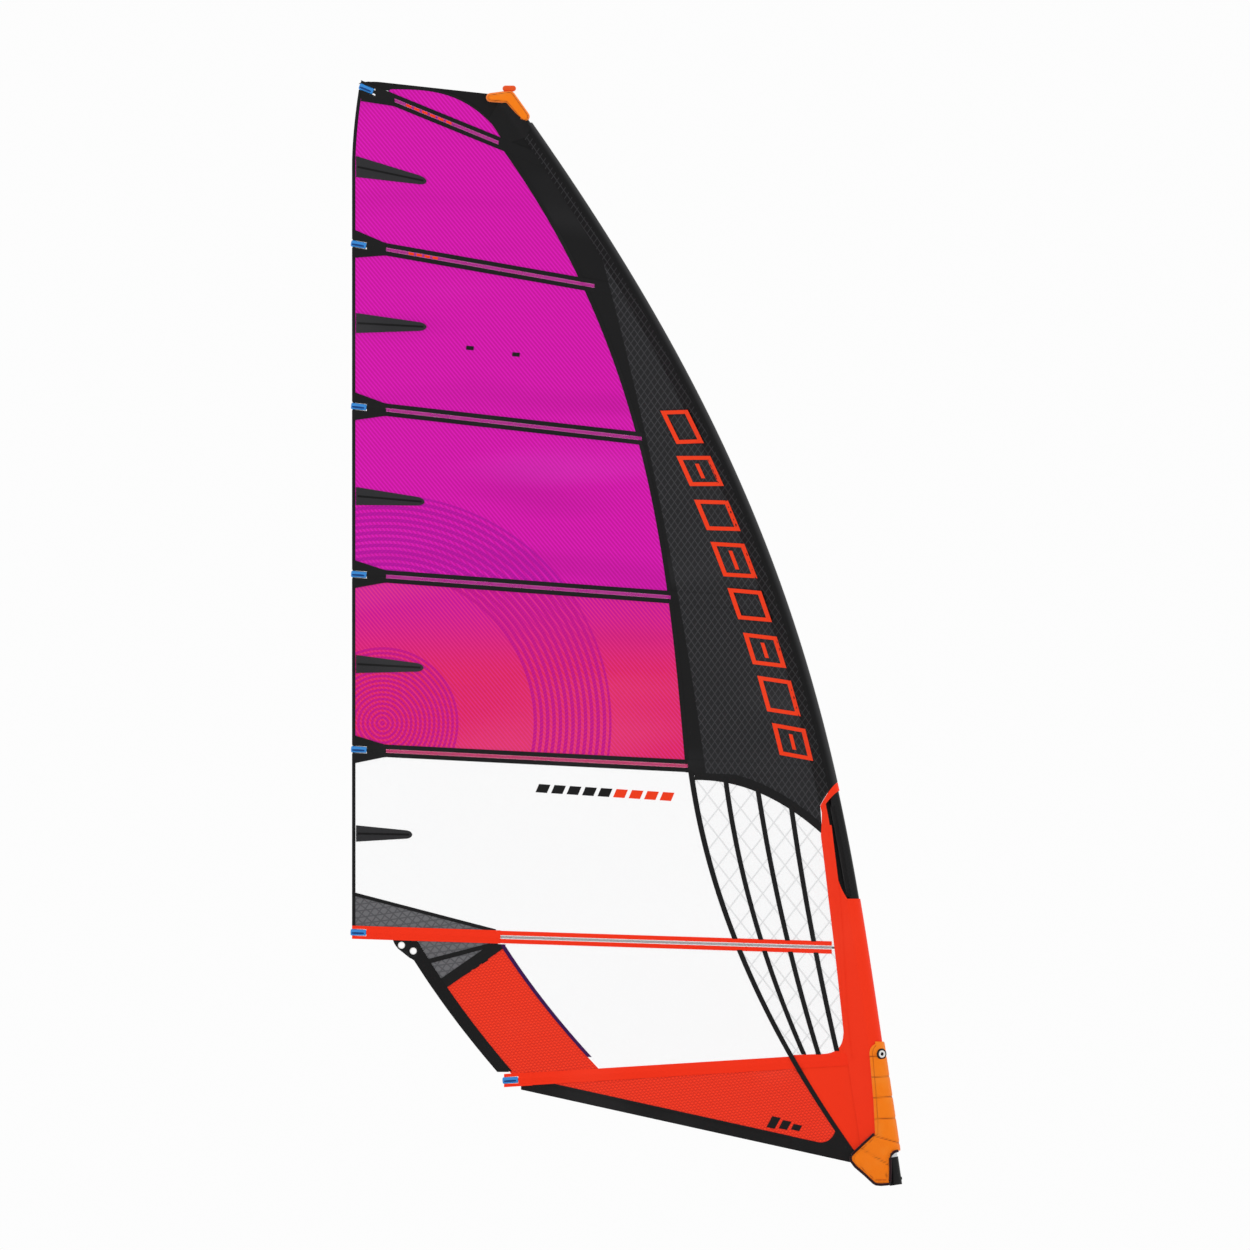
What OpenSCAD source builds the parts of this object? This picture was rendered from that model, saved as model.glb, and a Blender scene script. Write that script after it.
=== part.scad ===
// Windsurf sail rig: a cambered sail on its two-piece mast, with the mast extension at its foot.
// X points forward, from the leech to the luff. Z is up. The sail lies near the plane Y = 0.
// The origin is the mouth of the mast-foot socket.

/* [Mast] */
// Height of the mast tip above the foot
mast_top = 4300; // [4250:10:4320]
// Length of the straight stretch at the foot of the mast
mast_straight = 450; // [420:10:480]
// Forward lean of the straight stretch, as x over z
mast_rake = 0.147; // [0.13:0.001:0.16]
// Outer radius of the mast at its foot
mast_r_foot = 27; // [26:0.5:28]
// Outer radius of the mast at its tip
mast_r_tip = 14; // [13:0.5:15]
// Wall of the mast tube
mast_wall = 2.8; // [2.4:0.1:3]

/* [Sail] */
// Distance of the leech behind the mast foot
leech_x = 2176; // [2150:1:2200]
// Width of the tape along the leech
leech_tape_w = 14; // [10:1:18]
// Thickness of a sail panel
film_t = 1.2; // [1:0.1:1.4]
// Deepest belly of the sail, at about a quarter of its height
belly_max = 130; // [80:5:150]
// How far the head falls off to leeward at the leech
head_twist = 110; // [40:5:150]
// Half thickness of the luff sleeve at the mast, above the mast's own radius
sleeve_clear = 3.6; // [3.5:0.1:5]
// Half thickness of the luff sleeve's rear edge
sleeve_tail = 4; // [3.8:0.1:5]

/* [Battens] */
// Radius of a batten at the leech
batten_r = 5; // [4:0.5:5.5]
// Half thickness of a batten's flat luff end
batten_flat = 1.6; // [1.2:0.1:1.8]
// Width of a batten pocket
pocket_w = 50; // [44:1:56]
// Length of a tensioner cap
cap_len = 62; // [56:1:70]
// Travel of a tensioner cap
cap_travel = 12; // [8:1:14]

/* [Fittings] */
// Radius of the mast-foot socket
socket_r = 10; // [8:0.5:12]
// Depth of the mast-foot socket
socket_depth = 40; // [30:1:45]
// Outer radius of the extension's base cup
cup_r = 25; // [24:0.5:27]
// Height of the extension's base cup
cup_h = 112; // [105:1:118]
// Radius of a clew eyelet's hole
eyelet_r = 11; // [9:0.5:12]

/* [Hidden] */

rake_deg = atan(mast_rake);
gap = 1;                 // between panels that meet at a seam
cell = 95;               // longest side of a panel's cell
ink = "#1a1a1c";
magenta = "#cc10a8";
red = "#f2371c";
orange = "#f58a1c";
clear_film = "#e8ecee";

function mix(a, b, t) = a + (b - a)*t;
function clamp(v, lo, hi) = min(hi, max(lo, v));
function soft(t) = let(u = clamp(t, 0, 1)) u*u*(3 - 2*u);

// ---- Mast line and leading edge -------------------------------------------------------

// The mast is straight at its foot and then bends back along a fourth-degree curve.
bend_2 = 15.5;
bend_3 = -32.2;
bend_4 = 3.3;
function mast_x(z) = let(s = max(0, z - mast_straight)/1000)
    -mast_rake*z + s*s*(bend_2 + s*(bend_3 + s*bend_4));
function mast_lean(z) = (mast_x(z + 5) - mast_x(z - 5))/10;
function mast_cos(z) = 1/sqrt(1 + pow(mast_lean(z), 2));
function mast_r(z) = mix(mast_r_foot, mast_r_tip, z/mast_top);
function sleeve_half(z) = mast_r(z) + mix(sleeve_clear, 6, z/mast_top);
function nose_depth(z) = sleeve_half(z)/mast_cos(z);
function lead_x(z) = mast_x(z) + nose_depth(z);
function sleeve_chord(z) = lookup(z, [[0, 150], [600, 150], [1140, 128], [1400, 112], [1560, 90],
    [1700, 92], [2400, 95], [4400, 74]]);
function tail_x(z) = lead_x(z) - sleeve_chord(z);

// ---- Sail surface ---------------------------------------------------------------------

// The sail leaves the mast's back edge, and its belly lies towards +Y.
foot_x = -1500;          // where the leech's line would meet the foot
clew_z = 950;
clew_x = -1955;
function entry_x(z) = mast_x(z) - mast_r(z);
function exit_x(z) = z > clew_z ? -leech_x : mix(foot_x, -leech_x, z/clew_z);
function belly(z) = belly_max*lookup(z, [[0, 0.35], [600, 0.78], [1200, 1], [2000, 0.92],
    [3000, 0.6], [4000, 0.22], [4400, 0.12]]);
function fall_off(z) = head_twist*pow(max(0, z - 1000)/3400, 2);
function chord_at(x, z) = clamp((entry_x(z) - x)/(entry_x(z) - exit_x(z)), 0, 1);
function free_y(x, z) = let(c = chord_at(x, z))
    belly(z)*5.38*c*pow(1 - c, 1.5) + fall_off(z)*c*c;
// The sail is flat around the clew, where the plate and its eyelets are.
clew_y = 12;
function near_clew(x, z) = exp(-(pow(x - clew_x, 2) + pow(z - clew_z, 2))/pow(170, 2));
function sail_y(x, z) = mix(free_y(x, z), clew_y, near_clew(x, z));

// ---- Lines on the sail ----------------------------------------------------------------

// Each batten is a straight line: its height at the leech, its slope, and its leech end.
batten_z = [4407, 3766, 3116, 2444, 1743, 1011, 380];
batten_slope = [-0.409, -0.176, -0.113, -0.073, -0.05, -0.032, 0.0623];
batten_back = [-2146, -2180, -2180, -2180, -2180, -2182, -1574];
function line_z(k, x) = batten_z[k - 1] + batten_slope[k - 1]*(x + 2172);
function meet_z(k) = line_z(k, mast_x(line_z(k, mast_x(line_z(k, -300)))));
function tip_x(k) = k <= 3 ? tail_x(line_z(k, tail_x(meet_z(k)))) - 8
    : mast_x(meet_z(k)) - mast_r(meet_z(k)) - 10;
// Room that a panel leaves for the batten, wider at the tensioner cap.
function room(k, x) = 8 + 10*clamp((batten_back[k - 1] + cap_len + 36 - x)/30, 0, 1);
function over(k) = function(x) line_z(k, x) + room(k, x);
function under(k) = function(x) line_z(k, x) - room(k, x);

// The leech curves forward towards the head.
function leech_in(z) = 30*pow(clamp((z - 4080)/320, 0, 1), 1.7);
inner_leech = function(z) -leech_x + leech_in(z) + leech_tape_w + gap;
luff_seam = function(z) let(h = z/1000) -543 - 358*h + 166*h*h - 33.6*h*h*h;
seam_1 = function(z) let(h = z/1000) -88 - 762*h + 189*h*h;
seam_2 = function(z) let(h = z/1000) -111 - 585*h + 140*h*h;
seam_3 = function(z) let(h = z/1000) -141 - 379*h + 71*h*h;
seam_4 = function(z) let(h = z/1000) -110 - 279*h + 45*h*h;
black_arc = function(x) 1636 - 216*pow(clamp((x + 804)/508, 0, 1.1), 2.1);
clew_line = function(x) 1162 - 0.261*(x + 2160);
purple_line = function(z) -1576 + 0.635*(964 - z) + 0.00031*pow(964 - z, 2);
leech_foot = function(z) let(t = (z - 444)/480) -1588 - 0.742*(z - 444) - 60*t*(1 - t);
red_top = function(x) 797 + 0.63*(x + 1808);
foot_line = function(x) 392 - 0.2208*(x + 1548);
head_line = function(x) 4412 - 0.109*(x + 2064) - 14*pow(clamp((-2064 - x)/80, 0, 1), 2);
head_curve = function(x) 4386 - 195*pow(clamp((x + 2040)/470, 0, 1.2), 3.2);

// ---- Builders -------------------------------------------------------------------------

function flat(rows) = [for (row = rows) each row];

// A closed shell between two grids of points. keep(i, j) says which cells are filled.
module shell(front, back, keep = function(i, j) true) {
    n = len(front);
    m = len(front[0]);
    b = n*m;
    function id(i, j) = i*m + j;
    function on(i, j) = i >= 0 && j >= 0 && i < n - 1 && j < m - 1 && keep(i, j);
    function wall(p, q) = [[p, q, q + b], [p, q + b, p + b]];
    faces = [for (i = [0:n - 2]) for (j = [0:m - 2]) if (on(i, j)) each
        let(p = id(i, j), q = id(i, j + 1), r = id(i + 1, j + 1), s = id(i + 1, j))
        concat([[p, s, r], [p, r, q], [p + b, r + b, s + b], [p + b, q + b, r + b]],
            on(i - 1, j) ? [] : wall(p, q), on(i + 1, j) ? [] : wall(r, s),
            on(i, j - 1) ? [] : wall(s, p), on(i, j + 1) ? [] : wall(q, r))];
    polyhedron(points = concat(flat(front), flat(back)), faces = faces, convexity = 6);
}

// A skin of thickness t on the sail: each grid point is [x, z, height towards -Y].
module skin(grid, t = film_t) {
    front = [for (row = grid) [for (p = row) [p[0], sail_y(p[0], p[1]) - p[2] - t/2, p[1]]]];
    back = [for (row = grid) [for (p = row) [p[0], sail_y(p[0], p[1]) - p[2] + t/2, p[1]]]];
    shell(front, back);
}

// The point where the row at v between two lines meets an edge.
function edge_x(edge, low, high, v, x0, tries = 12) = tries == 0 ? x0
    : edge_x(edge, low, high, v, edge(mix(low(x0), high(x0), v)), tries - 1);

// A panel between a lower and an upper line z(x), and a rear and a front edge x(z).
module panel(low, high, rear, front, x_rear, x_front, rows = 4, lift = 0, t = film_t, span = cell) {
    cols = max(2, ceil((x_front - x_rear)/span));
    skin([for (i = [0:rows]) let(v = i/rows, a = edge_x(rear, low, high, v, x_rear),
            b = edge_x(front, low, high, v, x_front))
        [for (j = [0:cols]) let(x = mix(a, b, j/cols)) [x, mix(low(x), high(x), v), lift]]], t);
}

// A tape of width w along an edge x(z), laid on the sail.
module tape_up(edge, z_low, z_high, w, lift = 3, t = 1) {
    steps = max(2, ceil((z_high - z_low)/cell));
    skin([for (i = [0:steps]) let(z = mix(z_low, z_high, i/steps))
        [for (s = [0, 1]) [edge(z) + s*w, z, lift]]], t);
}

// A tape of width w along a line z(x), laid on the sail.
module tape_along(line, x_rear, x_front, w, lift = 3, t = 1) {
    steps = max(2, ceil((x_front - x_rear)/cell));
    skin([for (s = [0, 1]) [for (j = [0:steps]) let(x = mix(x_rear, x_front, j/steps))
        [x, line(x) + s*w, lift]]], t);
}

// A rod or tube through rings of points.
module rings(outer) {
    n = len(outer);
    m = len(outer[0]);
    sides = [for (i = [0:n - 2]) for (j = [0:m - 1]) let(k = (j + 1) % m) each
        [[i*m + j, i*m + k, i*m + m + k], [i*m + j, i*m + m + k, i*m + m + j]]];
    first = [for (j = [1:m - 2]) [0, j + 1, j]];
    last = [for (j = [1:m - 2]) [(n - 1)*m, (n - 1)*m + j, (n - 1)*m + j + 1]];
    polyhedron(points = flat(outer), faces = concat(sides, first, last), convexity = 4);
}

module hollow_rings(outer, inner) {
    n = len(outer);
    m = len(outer[0]);
    b = n*m;
    e = (n - 1)*m;
    sides = [for (i = [0:n - 2]) for (j = [0:m - 1]) let(k = (j + 1) % m,
            p = i*m + j, q = i*m + k) each
        [[p, q, q + m], [p, q + m, p + m], [p + b, q + m + b, q + b], [p + b, p + m + b, q + m + b]]];
    ends = [for (j = [0:m - 1]) let(k = (j + 1) % m) each
        [[j, k + b, k], [j, j + b, k + b], [e + j, e + k, e + k + b], [e + j, e + k + b, e + j + b]]];
    polyhedron(points = concat(flat(outer), flat(inner)), faces = concat(sides, ends), convexity = 6);
}

// A ring around the mast's line at height z.
mast_sides = 16;
function mast_ring(z, r) = let(co = mast_cos(z), si = mast_lean(z)*co)
    [for (j = [0:mast_sides - 1]) let(a = 360*j/mast_sides)
        [mast_x(z) + r*cos(a)*co, r*sin(a), z - r*cos(a)*si]];
inner_grow = 1/cos(180/mast_sides);

// A length of mast tube. bore(z) is the radius that stays free inside.
module mast_tube(z_low, z_high, steps, outside, bore) {
    zs = [for (i = [0:steps]) mix(z_low, z_high, i/steps)];
    hollow_rings([for (z = zs) mast_ring(z, outside(z))],
        [for (z = zs) mast_ring(z, bore(z)*inner_grow)]);
}

// Places children on the straight foot of the mast.
module on_foot(z = 0) rotate([0, -rake_deg, 0]) translate([0, 0, z]) children();
// Places children on the mast's line at height z.
module on_mast(z) translate([mast_x(z), 0, z]) rotate([0, atan(mast_lean(z)), 0]) children();
// Places children at a batten's leech end, with +X along the batten.
module on_batten(k) let(x = batten_back[k - 1], far = x + 90, z = line_z(k, x),
        run = [90, sail_y(far, line_z(k, far)) - sail_y(x, z), line_z(k, far) - z])
    translate([x, sail_y(x, z), z])
    rotate([0, -atan(run[2]/norm([run[0], run[1]])), atan2(run[1], run[0])])
    children();

// ---- Mast and extension ---------------------------------------------------------------

joint_z = 2150;          // where the two mast pieces meet
mast_foot_z = 190;
module mast_lower() color("#222326")
    mast_tube(mast_foot_z, joint_z - 0.5, 16, function(z) mast_r(z),
        function(z) mast_r(z) - mast_wall);
module mast_upper() color("#26272b")
    mast_tube(joint_z + 0.5, mast_top, 18, function(z) mast_r(z),
        function(z) mast_r(z) - mast_wall + 0.6);
module mast_ferrule() color("#303236")
    mast_tube(joint_z - 160, joint_z + 160, 4, function(z) mast_r(z) - mast_wall - 1.2,
        function(z) mast_r(z) - mast_wall - 4.2);
module mast_tip_plug() color("#151515")
    on_mast(mast_top) {
        translate([0, 0, 0.6]) cylinder(h = 24, r1 = mast_r_tip - 1, r2 = 8, $fn = 48);
        translate([0, 0, -24]) cylinder(h = 24.6, r = 10.6, $fn = 48);
    }

tube_r = 22.7;
module extension_tube() color("#c8cacc") on_foot(cup_h + 0.2)
    difference() {
        cylinder(h = 330, r = tube_r, $fn = 96);
        translate([0, 0, -1]) cylinder(h = 332, r = tube_r - 2.4, $fn = 96);
    }
module extension_collar() color("#202124") on_foot(mast_foot_z/cos(rake_deg) - 18.6)
    difference() {
        cylinder(h = 14, r = mast_r_foot, $fn = 96);
        translate([0, 0, -1]) cylinder(h = 16, r = tube_r + 0.2, $fn = 96);
    }

sheave_x = -cup_r - 14;
sheave_z = 58;
sheave_r = 11;
axle_r = 3;
module extension_base() color(ink) on_foot()
    difference() {
        union() {
            cylinder(h = cup_h, r = cup_r, $fn = 96);
            for (side = [-1, 1]) translate([0, side*10.5, 0]) rotate([90, 0, 0])
                translate([0, 0, -1.5]) linear_extrude(3) polygon([[-18, sheave_z + 34],
                    [sheave_x - 8, sheave_z + 8], [sheave_x - 8, sheave_z - 8], [-18, sheave_z - 30]]);
        }
        translate([0, 0, -1]) cylinder(h = socket_depth + 1, r = socket_r, $fn = 64);
        translate([0, 0, cup_h - 12]) difference() {
            cylinder(h = 20, r = cup_r - 3, $fn = 64);
            cylinder(h = 20, r = 12, $fn = 64);
        }
        translate([sheave_x, 20, sheave_z]) rotate([90, 0, 0])
            cylinder(h = 40, r = axle_r + 0.02, $fn = 48);
        translate([cup_r - 9, 0, 24]) rotate([0, 90, 0]) cylinder(h = 20, r = 6.2, $fn = 48);
    }
module extension_axle() color("#b8babd") on_foot()
    translate([sheave_x, 13, sheave_z]) rotate([90, 0, 0]) cylinder(h = 26, r = axle_r, $fn = 48);
// A grooved roller whose axis is Z, from z = 0 to w.
module sheave(r, w, bore, grooves) rotate_extrude($fn = 72)
    polygon(concat([[bore, 0]], [for (g = [0:grooves - 1]) let(p = w/grooves, z = g*p) each
        [[r, z + 0.2], [r, z + 0.9], [r - 2.6, z + p/2], [r, z + p - 0.9], [r, z + p - 0.2]]],
        [[bore, w]]));
module extension_sheave() color("#d8dadc") on_foot()
    translate([sheave_x, 8, sheave_z]) rotate([90, 0, 0]) sheave(sheave_r, 16, axle_r + 0.06, 2);
module release_button() color("#e06a18") on_foot()
    translate([cup_r - 4, 0, 24]) rotate([0, 90, 0]) cylinder(h = 7, r = 5.8, $fn = 48);

// ---- Luff sleeve ----------------------------------------------------------------------

// Half thickness of the sleeve at a distance d behind its nose.
function sleeve_y(d, z) = let(n = nose_depth(z), h = sleeve_half(z))
    d < n ? h*sqrt(max(0, 1 - pow(1 - d/n, 2)))
        : h - (h - sleeve_tail)*pow((d - n)/(sleeve_chord(z) - n), 1.3);
// A point on the sleeve. side is -1 on the camber's outer side and 1 on the other.
function sleeve_point(d, z, side, inset) = let(n = nose_depth(z), x = lead_x(z) - d,
        k = min(1, d/n + 0.15))
    [x - inset*max(0, 1 - d/n), sail_y(x, z) + side*max(0, sleeve_y(d, z) - inset*k), z];

// The boom cut-out, from its flat lower end to its slanting upper end.
cut_low = 1145;
cut_high = 1577;
red_high = 1610;
function cut_depth(z) = 76 - 24*pow(clamp((1240 - z)/95, 0, 1), 2) - 9*soft((z - 1240)/290);
function nose_slant(z, d) = pow(d/67, 1.3)*(z < red_high + 1 ? 53*clamp((z - 1400)/177, 0, 1.19)
    : 63*clamp((1820 - z)/208, 0, 1));
function sleeve_depths(z) = let(c = cut_depth(z), w = sleeve_chord(z))
    [0, 2.5, 10, 0.42*c, 0.72*c, c, (c + w)/2, w];
function sleeve_row(z, inset) = let(ds = sleeve_depths(z), m = len(ds))
    [for (j = [-m + 1:m - 1]) let(d = ds[abs(j)])
        sleeve_point(d, z - nose_slant(z, d), j < 0 ? -1 : 1, inset)];
sleeve_wall = 1.2;
module sleeve(zs, keep) shell([for (z = zs) sleeve_row(z, 0)],
    [for (z = zs) sleeve_row(z, sleeve_wall)], keep);

lower_rows = [132, 240, 350, 460, 580, 700, 820, 940, 1050, cut_low, 1168, 1200, 1250, 1330, 1400,
    1460, 1520, cut_high, red_high];
cut_from = search(cut_low, lower_rows)[0];
cut_to = search(cut_high, lower_rows)[0];
module luff_sleeve_lower() color(red)
    sleeve(lower_rows, function(i, j) i < cut_from || i >= cut_to || j < 2 || j > 11);
upper_rows = [red_high + 1.2, 1660, 1740, 1830, for (z = [2000:187.5:4250]) z];
module luff_sleeve_upper() color(ink) sleeve(upper_rows, function(i, j) true);

// The facing closes the sleeve behind the mast, inside the cut-out.
facing_gap = 1;
function facing(z, push) = let(r = mast_r(z) + facing_gap + push)
    [for (a = [-72:18:72]) [mast_x(z) - r*cos(a), r*sin(a), z]];
module cutout_facing() color("#0c0c0d") {
    zs = [for (i = [0:8]) mix(cut_low + 6, cut_high - 64, i/8)];
    shell([for (z = zs) facing(z, 0)], [for (z = zs) facing(z, 1.2)]);
}

// ---- Panels ---------------------------------------------------------------------------

into_tail = 6;           // how far a panel reaches into the sleeve's rear edge
sleeve_edge = function(z) tail_x(z) + into_tail;
module luff_piece(low, high, z_mid, rows) panel(low, high, luff_seam, sleeve_edge,
    luff_seam(z_mid), sleeve_edge(z_mid), rows);
module luff_panel() color("#2a2a2d") {
    panel(function(x) black_arc(x) + gap, under(5), function(z) -812, sleeve_edge, -812, -310, 2);
    luff_piece(over(5), under(4), 2000, 6);
    luff_piece(over(4), under(3), 2700, 5);
    luff_piece(over(3), under(2), 3350, 5);
    luff_piece(over(2), under(1), 3900, 4);
}
module body_panel(k) panel(over(k + 1), under(k), inner_leech, function(z) luff_seam(z) - gap,
    inner_leech(0), luff_seam(batten_z[k] + 200), 4);
module body_panel_1() color(magenta) body_panel(1);
module body_panel_2() color(magenta) body_panel(2);
module body_panel_3() color(magenta) body_panel(3);
module body_panel_4() color("#d8208a") body_panel(4);
head_span = 32;          // longest side of a cell near the head's curve
module head_panel() color(magenta)
    panel(over(1), head_curve, function(z) -2030, function(z) -1580, -2030, -1580, 2, span = head_span);
module head_band() color(ink)
    panel(function(x) max(over(1)(x), head_curve(x) + 3), head_line,
        function(z) -2122, sleeve_edge, -2122, -1520, 2, span = head_span);

module window_panel() color(clear_film)
    panel(function(x) max(over(6)(x), clew_line(x)), under(5), inner_leech,
        function(z) seam_1(z) + 10, inner_leech(0), seam_1(1300), 5);
module scrim_panel() color("#dfe3e5") {
    panel(over(6), black_arc, function(z) seam_1(z) + 10 + gap, sleeve_edge, -760, -270, 4);
    panel(over(7), under(6), function(z) seam_1(z) + 10 + gap, sleeve_edge, -560, -230, 3);
}
module lower_window() color(clear_film)
    panel(over(7), under(6), purple_line, function(z) seam_1(z) + 10, -1400, -540, 4);
module clew_panels() color("#626466") {
    panel(over(6), function(x) clew_line(x) - gap, inner_leech, function(z) -1580,
        inner_leech(0), -1580, 2);
    panel(function(x) red_top(x) + gap, under(6), function(z) leech_foot(z) + 62,
        function(z) -1592, -1880, -1592, 4);
}
module leech_foot_band() color(ink)
    panel(function(x) 452, function(x) 902, leech_foot, function(z) leech_foot(z) + 48,
        -1760, -1712, 8);
module leech_foot_panel() color("#e8482c")
    panel(over(7), function(x) min(under(6)(x), red_top(x)), function(z) leech_foot(z) + 48 + gap,
        function(z) purple_line(z) - 7, -1640, -1330, 4);
module foot_panel() color("#e8482c")
    panel(function(x) foot_line(x) + 48 + gap, under(7), function(z) -1430,
        function(z) seam_1(z) + 10, -1430, -360, 3);
module tack_gusset() color(red)
    panel(function(x) 152, under(7), function(z) seam_1(z) + 10 + gap, sleeve_edge,
        -300, -180, 3);

// ---- Tapes ----------------------------------------------------------------------------

cap_room = 18;
module leech_tape() color(ink)
    for (k = [1:5]) tape_up(function(z) -leech_x + leech_in(z), line_z(k + 1, -leech_x) + cap_room,
        line_z(k, -leech_x) - cap_room - (k == 1 ? 24 : 0), leech_tape_w, 0, 1.8);
module foot_tape() color(ink)
    panel(foot_line, function(x) min(foot_line(x) + 48, under(7)(x)), function(z) -1500,
        function(z) -182, -1500, -182, 1, 0, 1.8);
module seam_tapes() color(ink) {
    tape_up(seam_1, 128, line_z(7, -420) - 34, 22);
    tape_up(seam_1, line_z(7, -420) + 34, line_z(6, -650) - 32, 22);
    tape_up(seam_1, line_z(6, -650) + 32, 1600, 22);
    tape_up(seam_2, 540, line_z(6, -550) - 32, 20);
    tape_up(seam_2, line_z(6, -550) + 32, 1560, 20);
    tape_up(seam_3, 540, line_z(6, -440) - 32, 20);
    tape_up(seam_3, line_z(6, -440) + 32, 1528, 20);
    tape_up(seam_4, 548, line_z(6, -330) - 32, 20);
    tape_up(seam_4, line_z(6, -330) + 32, 1440, 20);
    tape_along(function(x) clew_line(x) - 7, -2155, -1640, 14);
    tape_up(function(z) purple_line(z) - 8, 512, 930, 14);
}

// ---- Battens --------------------------------------------------------------------------

rod_back = 34;           // where the rod starts, behind the cap's mouth
function rod_start(k) = batten_back[k - 1] + rod_back;
function rod_half(k, x) = mix(batten_r, batten_flat,
    soft((x - rod_start(k))/(tip_x(k) - rod_start(k) - 60)));
module batten(k) {
    a = rod_start(k);
    b = tip_x(k);
    n = ceil((b - a)/cell);
    rings([for (i = [0:n]) let(x = mix(a, b, i/n), z = line_z(k, x), h = rod_half(k, x))
        [for (j = [0:7]) let(t = 45*j + 22.5) [x, sail_y(x, z) + h*cos(t), z + batten_r*sin(t)]]]);
}
module rod_colour() color("#3a3c40") children();
module batten_1() rod_colour() batten(1);
module batten_2() rod_colour() batten(2);
module batten_3() rod_colour() batten(3);
module batten_4() rod_colour() batten(4);
module batten_5() rod_colour() batten(5);
module batten_6() rod_colour() batten(6);
module batten_7() rod_colour() batten(7);

pocket_lift = 2.4;       // of a pocket's edges off the panel's middle
// The two skins of a pocket, on both sides of its batten.
module batten_pocket(k) {
    a = batten_back[k - 1] + cap_len + 4;
    b = tail_x(line_z(k, tail_x(meet_z(k)))) - (k == 1 ? 32 : 24);
    n = ceil((b - a)/cell);
    for (side = [-1, 1]) skin([for (w = [-1, -0.36, 0, 0.36, 1])
        [for (j = [0:n]) let(x = mix(a, b, j/n), h = rod_half(k, x) + pocket_lift)
            [x, line_z(k, x) + w*pocket_w/2,
                side*(w == 0 ? h : abs(w) < 1 ? mix(pocket_lift, h, 0.15) : pocket_lift)]]], 1);
}
module batten_pockets_black() color("#232326") for (k = [1:5]) batten_pocket(k);
module batten_pockets_red() color(red) for (k = [6:7]) batten_pocket(k);

cap_t = 14;
cap_tall = 26;
// A tensioner cap: a housing that slides along the batten as its screw is turned.
module tensioner_cap(k) color("#0a78c8") on_batten(k)
    difference() {
        union() {
            translate([5, -cap_t/2, -cap_tall/2]) cube([cap_len - 5, cap_t, cap_tall]);
            translate([7, 0, 0]) rotate([90, 0, 0])
                cylinder(h = cap_t, r = 7, center = true, $fn = 48);
        }
        translate([rod_back - 3, -6.1, -6.2]) cube([cap_len, 12.2, 12.4]);
        translate([-5, 0, 0]) rotate([0, 90, 0]) cylinder(h = 60, r = 3.3, $fn = 32);
    }
module tensioner_cap_1() tensioner_cap(1);
module tensioner_cap_2() tensioner_cap(2);
module tensioner_cap_3() tensioner_cap(3);
module tensioner_cap_4() tensioner_cap(4);
module tensioner_cap_5() tensioner_cap(5);
module tensioner_cap_6() tensioner_cap(6);
module tensioner_cap_7() tensioner_cap(7);
module tensioner_screws() color("#b0b3b6")
    for (k = [1:7]) on_batten(k) translate([4, 0, 0]) rotate([0, 90, 0])
        cylinder(h = rod_back - 4.6, r = 3, $fn = 32);

// Mini battens: the height at the leech, the slope and the end of each.
mini_z = [4074, 3448, 2756, 2084, 1406];
mini_slope = [-0.21, -0.055, -0.085, -0.055, -0.02];
mini_end = [-1892, -1892, -1900, -1904, -1949];
mini_tall = [84, 80, 72, 72, 66];
function mini_line(i, x) = mini_z[i] + mini_slope[i]*(x + 2160);
module mini_batten_pockets() color(ink) for (i = [0:4]) {
    a = inner_leech(0) + 1;
    skin([for (w = [-1, -0.4, 0, 0.4, 1]) [for (j = [0:4]) let(x = mix(a, mini_end[i] + 14, j/4),
            h = mix(mini_tall[i]/2, 15, j/4))
        [x, mini_line(i, x) + w*h, w == 0 ? 5.8 : abs(w) < 1 ? 4.6 : 2.6]]], 1);
}
module mini_battens() color("#0c0c0c") for (i = [0:4])
    skin([for (w = [-4, 4]) [for (j = [0:3]) let(x = mix(inner_leech(0) + 4, mini_end[i], j/3))
        [x, mini_line(i, x) + w, 2.9]]], 2);

// Camber inducers hold the lower battens' tips against the mast.
module camber_inducers() color("#2c2d30") for (k = [4:7]) {
    z = meet_z(k);
    x = mast_x(z);
    r = mast_r(z);
    tip = tip_x(k);
    y = sail_y(tip - 6, z);
    difference() {
        hull() {
            translate([x - r*0.72 - 5, -r*0.6, z - 22]) cube([4, r*1.2, 44]);
            translate([tip - 14, y - 6, z - 13]) cube([12, 12, 26]);
        }
        translate([x, 0, z]) rotate([0, atan(mast_lean(z)), 0])
            cylinder(h = 120, r = r + 0.5, center = true, $fn = 64);
        hull() for (at = [tip - 40, tip + 1])
            translate([at, sail_y(at, z) - 2.4, line_z(k, at) - 6.4]) cube([0.1, 4.8, 12.8]);
    }
}

// ---- Clew -----------------------------------------------------------------------------

eyelet_1 = [-1978, 959];
eyelet_2 = [-1931, 936];
module at_clew(p, h) translate([p[0], clew_y + h/2, p[1]]) rotate([90, 0, 0]) children();
module clew_plate() color(ink) difference() {
    hull() {
        at_clew(eyelet_1, 5) cylinder(h = 5, r = 19.5, $fn = 32);
        at_clew(eyelet_2, 5) cylinder(h = 5, r = 19.5, $fn = 32);
        at_clew([-1935, 924], 5) cylinder(h = 5, r = 19, $fn = 32);
    }
    for (p = [eyelet_1, eyelet_2]) at_clew(p, 20) cylinder(h = 20, r = eyelet_r + 3, $fn = 64);
}
module clew_eyelets() color("#e6e8ea") for (p = [eyelet_1, eyelet_2]) at_clew(p, 9)
    difference() {
        cylinder(h = 9, r = eyelet_r + 2.9, $fn = 64);
        translate([0, 0, -1]) cylinder(h = 11, r = eyelet_r, $fn = 64);
    }

// ---- Head -----------------------------------------------------------------------------

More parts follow.
